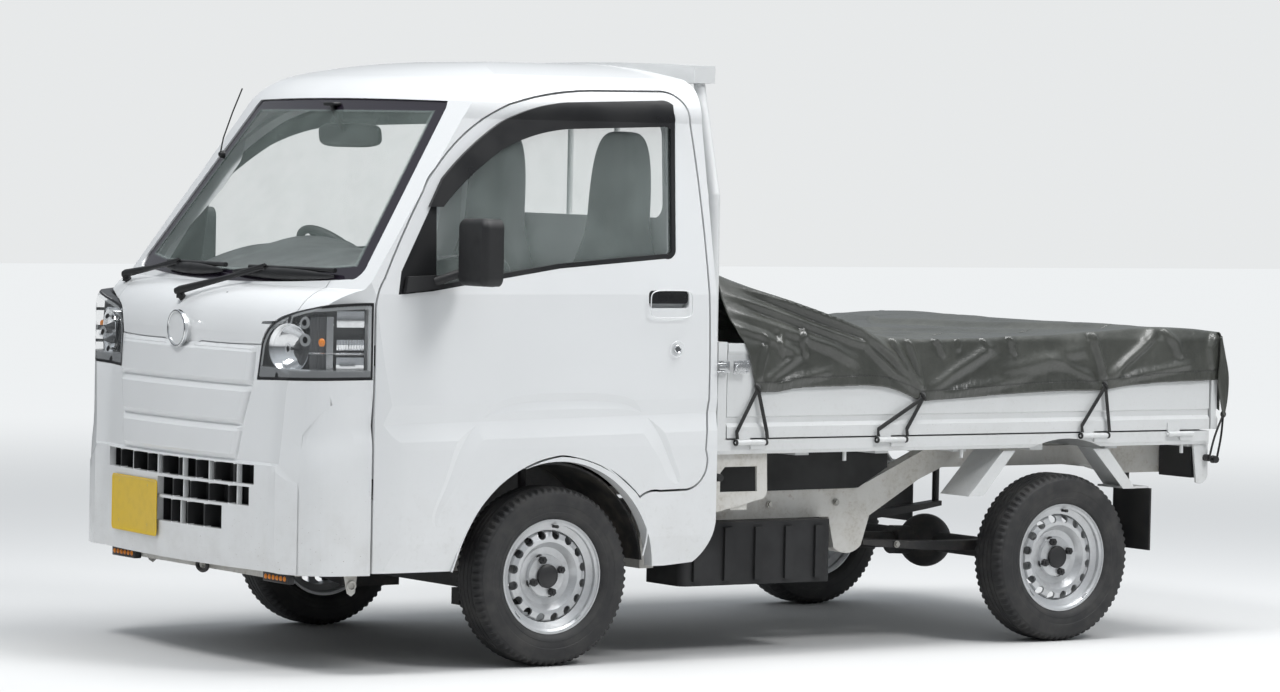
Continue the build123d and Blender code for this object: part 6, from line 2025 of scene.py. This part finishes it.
@dataclass
class Cabin:
    """Padded seats, raised dash, inner mirror, and the doors' mirrors, keys and handles."""

    workshop: Workshop
    seat_y: float = 0.350
    dash_half: float = 0.585
    handle_y: float = 0.7352
    key_place: tuple[float, float] = (-0.409, 0.925)
    mirror_place: tuple[float, float] = (0.842, 1.203)

    def build(self) -> None:
        """Makes the cabin's pieces."""
        self._seats()
        self._dash()
        self._inner_mirror()
        self._doors()
        self._outside()

    @staticmethod
    def _block(centre: Vector, size: Point, power: float, cuts: int, lean: float = 0.0, dish: float = 0.0,
               seams: Sequence[float] = ()) -> Form:
        """A rounded cushion: a superellipsoid box with a dish and seams across its top."""
        form = bmesh.new()
        size = Vector(size)
        bmesh.ops.create_cube(form, size=2.0)
        bmesh.ops.subdivide_edges(form, edges=list(form.edges), cuts=cuts, use_grid_fill=True)
        turn = Matrix.Rotation(lean, 3, "Y")
        for vertex in form.verts:
            x, y, z = vertex.co
            norm = (abs(x) ** power + abs(y) ** power + abs(z) ** power) ** (1 / power)
            x, y, z = x / norm, y / norm, z / norm
            sink = 0.0
            if z > 0:
                sink = dish * max(0.0, 1 - (y / 0.6) ** 2)
                sink += sum(0.010 / size.z * math.exp(-((x - seam) / 0.04) ** 2) for seam in seams)
            vertex.co = centre + turn @ Vector((x * size.x, y * size.y, (z - sink) * size.z))
        return form

    def _back(self, y: float) -> Form:
        """A seat's back, drawn in to its head pad and dished between the bolsters."""
        back = self._block(at(-0.436, y, 1.130), (0.054, 0.214, 0.434), 4.2, 30, -0.055)
        for vertex in back.verts:
            over = (vertex.co.y - y) / 0.214
            height = (vertex.co.z - 0.70) / 0.866
            waist = min(1.0, max(0.0, (height - 0.44) / 0.26))
            vertex.co.y = y + (vertex.co.y - y) * (1.0 - 0.44 * smooth_share(waist))
            if vertex.co.x > at(-0.430, 0, 0).x:
                dish = 0.022 * max(0.0, 1 - (over / 0.62) ** 2) * (1 - waist)
                vertex.co.x -= dish + 0.006 * math.exp(-((height - 0.62) / 0.012) ** 2)
        return back

    def _seats(self) -> None:
        """Two high-back seats, each a cushion, a back with bolsters and a head pad."""
        shells, pads = [], []
        for y in (-self.seat_y, self.seat_y):
            cushion = self._block(at(-0.165, y, 0.735), (0.232, 0.226, 0.062), 5.0, 22, 0.05, 0.16,
                                  (-0.35, 0.30))
            pads += [cushion, self._back(y)]
            shells.append(slab(at(-0.40, y - 0.20, 0.605), at(0.04, y + 0.20, 0.685), 0.02, 3))
            for aside in (y - 0.205, y + 0.205):
                shells.append(slab(at(-0.44, aside - 0.012, 0.64), at(-0.36, aside + 0.012, 0.79), 0.008))
        seats = self.workshop.piece("seat_pads", joined(*pads), "seat_cloth", slot="seat_fabric", smooth=60.0)
        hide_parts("seats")
        self.workshop.piece("seat_frames", joined(*shells), "black_trim", slot="seat_fabric")

    def _dash(self) -> None:
        """A tall dash top with the dial hood on the driver's side and vents."""
        outline = [(0.118, 0.86), (0.100, 0.98), (0.106, 1.090), (0.130, 1.165), (0.200, 1.192),
                   (0.330, 1.190), (0.450, 1.165), (0.560, 1.128), (0.640, 1.092)]
        curve = smoothed([Vector((x, 0, z)) for x, z in outline], 4)
        columns = 72
        grid = []
        for i in range(columns + 1):
            y = -self.dash_half + 2 * self.dash_half * i / columns
            hood = math.exp(-(((y + 0.335) / 0.155) ** 4))
            shelf = math.exp(-(((y - 0.33) / 0.20) ** 4))
            row = []
            for k, point in enumerate(curve):
                part = k / (len(curve) - 1)
                rise = 0.030 * hood * math.exp(-(((part - 0.46) / 0.17) ** 4))
                dip = 0.012 * shelf * math.exp(-(((part - 0.52) / 0.13) ** 4))
                back = 0.10 * (abs(y) / 0.6) ** 2 * part
                row.append(at(point.x - back, y, point.z + rise - dip))
            grid.append(row)
        top = self.workshop.piece("dash_top", skin(grid, flip=True), "dash_plastic", slot="dash_plastic",
                                  smooth=60.0)
        Workshop.thickened(top, 0.004, -1.0)
        frames = []
        for y0, y1 in ((-0.14, -0.02), (0.02, 0.14)):
            for k in range(5):
                z = 1.030 + 0.012 * k
                frames.append(slab(at(0.080, y0 + 0.006, z), at(0.110, y1 - 0.006, z + 0.003), 0.001, 1))
            for z in (1.018, 1.090):
                frames.append(slab(at(0.084, y0, z), at(0.112, y1, z + 0.006), 0.002))
        self.workshop.piece("dash_vents", joined(*frames), "black_trim", slot="dash_plastic")

    def _inner_mirror(self) -> None:
        """The mirror inside the windscreen, with its stalk."""
        centre = at(0.300, 0.016, 1.536)
        case = self._block(centre, (0.016, 0.126, 0.036), 4.0, 10, 0.12)
        outwards = Matrix.Rotation(math.radians(15), 3, "Z")
        bmesh.ops.rotate(case, cent=centre, matrix=outwards, verts=case.verts)
        path = [at(x, 0.010, z) for x, z in ((0.318, 1.548), (0.345, 1.585), (0.362, 1.6285))]
        stalk = swept(path, round_section(0.007, 12))
        foot = slab(at(0.345, -0.02, 1.622), at(0.375, 0.04, 1.6335), 0.004)
        self.workshop.piece("inner_mirror", joined(case, stalk, foot), "black_trim", slot="dash_plastic",
                            smooth=50.0)

    def _doors(self) -> None:
        """Key rings, handle cups and mirror faces on the two doors."""
        key_x, key_z = self.key_place
        mirror_y, mirror_z = self.mirror_place
        profile = [(0.0090, -0.004), (0.0120, -0.004), (0.0120, 0.0022), (0.0108, 0.0034), (0.0092, 0.0026),
                   (0.0090, 0.0010), (0.0, 0.0010), (0.0, -0.004)]
        for side in Side:
            s, body = side.value, f"door_{side.word}"
            key = turned(profile, at(key_x, s * 0.7350, key_z), "Y", 32, s)
            dish = hoop(key_x, s * self.handle_y, key_z, (0.0235, 0.0235), 40, round_section(0.0011, 6))
            cup = hoop(-0.3855, s * self.handle_y, 1.0570, (0.0740, 0.0405), 72, round_section(0.0016, 6),
                       0.4)
            face = self._block(at(0.322, s * mirror_y, mirror_z), (0.0035, 0.066, 0.084), 5.0, 10)
            rim = hoop(0.3195, s * mirror_y, mirror_z, (0.0700, 0.0880), 64, round_section(0.0042, 8), 0.55,
                       ALONG)
            for name, form, finish, slot, smooth in (
                ("key_ring", key, "chrome", "body_paint", 35.0),
                ("handle_rims", joined(dish, cup), "white_paint", "body_paint", 50.0),
                ("mirror_face", face, "chrome", "mirror_housing", 40.0),
                ("mirror_rim", rim, "mirror_housing", "mirror_housing", 50.0),
            ):
                self.workshop.piece(f"{name}_{side.word}", form, finish, body, slot, smooth)

    def _outside(self) -> None:
        """Bracket under each door's front edge, roof aerial and its foot."""
        outline = ((0.640, 0.289), (0.592, 0.289), (0.600, 0.225), (0.612, 0.216), (0.626, 0.225))
        forms = []
        for side in Side:
            s = side.value
            forms.append(plate([at(x, s * 0.6000, z) for x, z in outline], Vector((0, -s * 0.004, 0)), 0.001))
            forms.append(hoop(0.6135, s * 0.603, 0.247, (0.0125, 0.0125), 20, round_section(0.003, 8)))
        self.workshop.piece("jacking_lugs", joined(*forms), "frame_paint")
        foot = turned([(0, 0.0), (0.012, 0.0), (0.011, 0.010), (0.006, 0.016), (0, 0.017)],
                      at(0.412, -0.556, 1.470), "X", 20)
        path = [at(*p) for p in ((0.424, -0.556, 1.472), (0.424, -0.538, 1.520), (0.414, -0.500, 1.600),
                                 (0.402, -0.464, 1.672))]
        rod = swept(path, round_section(0.0022, 8), side=ALONG)
        self.workshop.piece("aerial", joined(foot, rod), "black_trim", smooth=50.0)


@dataclass
class BedFittings:
    """Latches, corner bands and flaps, bolts and buffers of the bed, and the front arches' lips."""

    workshop: Workshop
    latch_y: float = 0.7365
    arch_y: float = 0.7350
    rail_y: float = 0.5305
    tail_x: float = -2.527
    tail_hinge_y: float = 0.420
    flap_columns: int = 12

    # places down a corner flap's front and rear edges
    FLAP_NEAR = ((-2.5060, 0.7320, 0.952), (-2.5030, 0.7365, 0.890), (-2.4960, 0.7375, 0.812),
                 (-2.5080, 0.7375, 0.745), (-2.5235, 0.7335, 0.700))
    FLAP_FAR = ((-2.5120, 0.7300, 0.955), (-2.5290, 0.7290, 0.900), (-2.5480, 0.7285, 0.830),
                (-2.5450, 0.7290, 0.755), (-2.5310, 0.7300, 0.698))
    # columns: x, z of the rolled lip along a front wheel arch
    LIP = ((0.3600, 0.2900), (0.3210, 0.3880), (0.2650, 0.4770), (0.1850, 0.5520), (0.1030, 0.5960),
           (0.0200, 0.6180), (-0.0390, 0.6190), (-0.1500, 0.5880), (-0.2360, 0.5290), (-0.2800, 0.4890),
           (-0.3070, 0.4350), (-0.3130, 0.3780), (-0.2990, 0.3180))
    # profile and place of the rear and the front buffer
    BUFFERS = (
        ([(0, 0.0), (0.0125, 0.0), (0.0125, 0.006), (0.0095, 0.009), (0.0095, 0.012), (0.0120, 0.015),
          (0.0110, 0.021), (0, 0.023)], (-2.4980, 0.7180, 0.560)),
        ([(0, 0.0), (0.0120, 0.0), (0.0120, 0.006), (0.0092, 0.009), (0.0092, 0.012), (0.0115, 0.015),
          (0.0105, 0.020), (0, 0.022)], (-0.5790, 0.7080, 0.540)),
    )

    def build(self, repeat: Repeat) -> None:
        """Makes every fitting.

        Args:
            repeat: the tree that sets the bolts.
        """
        for side in Side:
            self._latch(side)
        for side in Side:
            self._corner_band(side)
        for side in Side:
            self._corner_flap(side)
        self._rivets(repeat)
        self._bolts(repeat)
        buffers = [turned(profile, at(x, side.value * y, z), "Y", 24, side.value)
                   for side in Side for profile, (x, y, z) in self.BUFFERS]
        self.workshop.piece("bed_buffers", joined(*buffers), "band_rubber", slot="flap_rubber")
        lips = [swept(smoothed([at(x, side.value * self.arch_y, z - 0.001) for x, z in self.LIP], 5),
                      round_section(0.0030, 8)) for side in Side]
        self.workshop.piece("arch_lips", joined(*lips), "white_paint", smooth=60.0)

    def _latch(self, side: Side) -> None:
        """Bright over-centre latch at a gate's front end, its hook on the gate."""
        s, face = side.value, side.value * self.latch_y
        frames = [slab(at(-0.598, s * 0.7335, 0.852), at(-0.574, face, 0.888), 0.0012)]
        for z in (0.857, 0.881):
            path = [at(x, s * y, z) for x, y in ((-0.582, 0.7395), (-0.566, 0.7400), (-0.550, 0.7392))]
            frames.append(swept(path, round_section(0.0022, 8), side=UP))
        frames.append(slab(at(-0.586, face, 0.861), at(-0.558, s * 0.7420, 0.877), 0.002))
        lip = [at(x, s * y, z) for x, y, z in ((-0.626, 0.7440, 0.858), (-0.615, 0.7446, 0.870),
                                               (-0.626, 0.7440, 0.882))]
        catch = [slab(at(-0.668, face, 0.850), at(-0.610, s * 0.7385, 0.890), 0.0008),
                 slab(at(-0.652, s * 0.7385, 0.858), at(-0.612, s * 0.7432, 0.882), 0.0016),
                 swept(lip, round_section(0.0024, 8))]
        catch += [turned([(0, 0.0), (0.0042, 0.0), (0.0036, 0.0022), (0, 0.0030)], at(-0.660, s * 0.7385, z),
                         "Y", 16, s) for z in (0.857, 0.883)]
        for name, forms, body in (("latch_body", frames, "body"), ("latch_hook", catch, f"gate_{side.word}")):
            self.workshop.piece(f"{name}_{side.word}", joined(*forms), "latch_plating", body, "latch_plating")

    def _corner_band(self, side: Side) -> None:
        """The rubber band that holds a rear corner of the cloth to the corner bracket."""
        s = side.value
        top = at(self.tail_x, s * 0.7320, 0.704)
        forms = []
        for x, z, bow in ((-2.472, 0.560, 0.006), (-2.506, 0.566, -0.004)):
            low = at(x, s * 0.7315, z)
            middle = (top + low) / 2 + Vector((bow, 0, 0))
            forms.append(swept(smoothed([top, middle, low], 8), round_section(0.0048, 8, 0.5)))
        ring = [(0.0060, -0.002), (0.0105, -0.002), (0.0105, 0.002), (0.0060, 0.002), (0.0060, -0.002)]
        forms.append(turned(ring, top, "Y", 20))
        self.workshop.piece(f"corner_band_{side.word}", joined(*forms), "band_rubber", slot="flap_rubber",
                            smooth=50.0)

    def _corner_flap(self, side: Side) -> None:
        """A rear corner of the cloth, folded and drawn down to its band."""
        near, far = (smoothed([at(*p) for p in marks], 8) for marks in (self.FLAP_NEAR, self.FLAP_FAR))
        grid = []
        for k, (a, b) in enumerate(zip(near, far)):
            row = []
            for j in range(self.flap_columns + 1):
                t = j / self.flap_columns
                fold = 0.0035 * math.sin(3 * math.pi * t) * math.sin(math.pi * k / (len(near) - 1))
                x, y, z = a.lerp(b, t)
                row.append((x, (y + 0.0075 * math.sin(math.pi * t) + max(0.0, fold)) * side.value, z))
            grid.append(row)
        flap = self.workshop.piece(f"tarp_corner_{side.word}", skin(grid, flip=True), "tarpaulin",
                                   slot="tarp_fabric", smooth=60.0)
        Workshop.thickened(flap, Tarpaulin.thickness, 0.0)

    def _rivets(self, repeat: Repeat) -> None:
        """Rivets on the tail's hinges."""
        places = [(at(self.tail_x, y + shift, z), facing_turn(-ALONG))
                  for y in (-self.tail_hinge_y, self.tail_hinge_y) for shift in (-0.030, 0.030)
                  for z in (0.690, 0.712)]
        profile = [(0, -0.001), (0.0052, -0.001), (0.0048, 0.0020), (0.0028, 0.0032), (0, 0.0035)]
        repeat.made("tail_rivets", turned(profile, ORIGIN, "Z", 16), places, "bed_paint", "tailgate")

    def _bolts(self, repeat: Repeat) -> None:
        """Hex bolts on the frame rails, wheel guards and bearers."""
        washer = turned([(0, -0.001), (0.0112, -0.001), (0.0112, 0.0014), (0, 0.0014)], ORIGIN, "Z", 20)
        spots = ((-1.387, 0.304), (-2.130, 0.470), (-1.700, 0.470), (-0.900, 0.440), (-1.150, 0.440))
        places = [(at(x, side.value * self.rail_y, z), facing_turn(Vector((0, side.value, 0)), x))
                  for side in Side for x, z in spots]
        bolt = joined(hexagon(0.0082, 0.0080, 0.0060, 0.0044), washer)
        repeat.made("frame_bolts", bolt, places, "bolt_zinc", "body")


def main() -> None:
    """Builds the truck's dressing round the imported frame."""
    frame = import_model()
    nodes = frame["nodes"]
    finishes = Finishes()
    workshop = Workshop(finishes)
    repeat = Repeat(workshop)
    Studio().build()
    CadPieces(finishes).build(nodes, frame["record"])
    Tarpaulin(workshop).build(repeat)
    Wheels(workshop).build(repeat)
    corner = FrontCorner()
    FrontEnd(workshop, corner, nodes).build(repeat)
    Headlamps(workshop, corner, nodes).build()
    Wipers(workshop, nodes).build()
    Cabin(workshop).build()
    BedFittings(workshop).build(repeat)
    log.info("built")


if __name__ == "__main__":
    logging.basicConfig(level=logging.INFO, format="%(message)s")
    main()
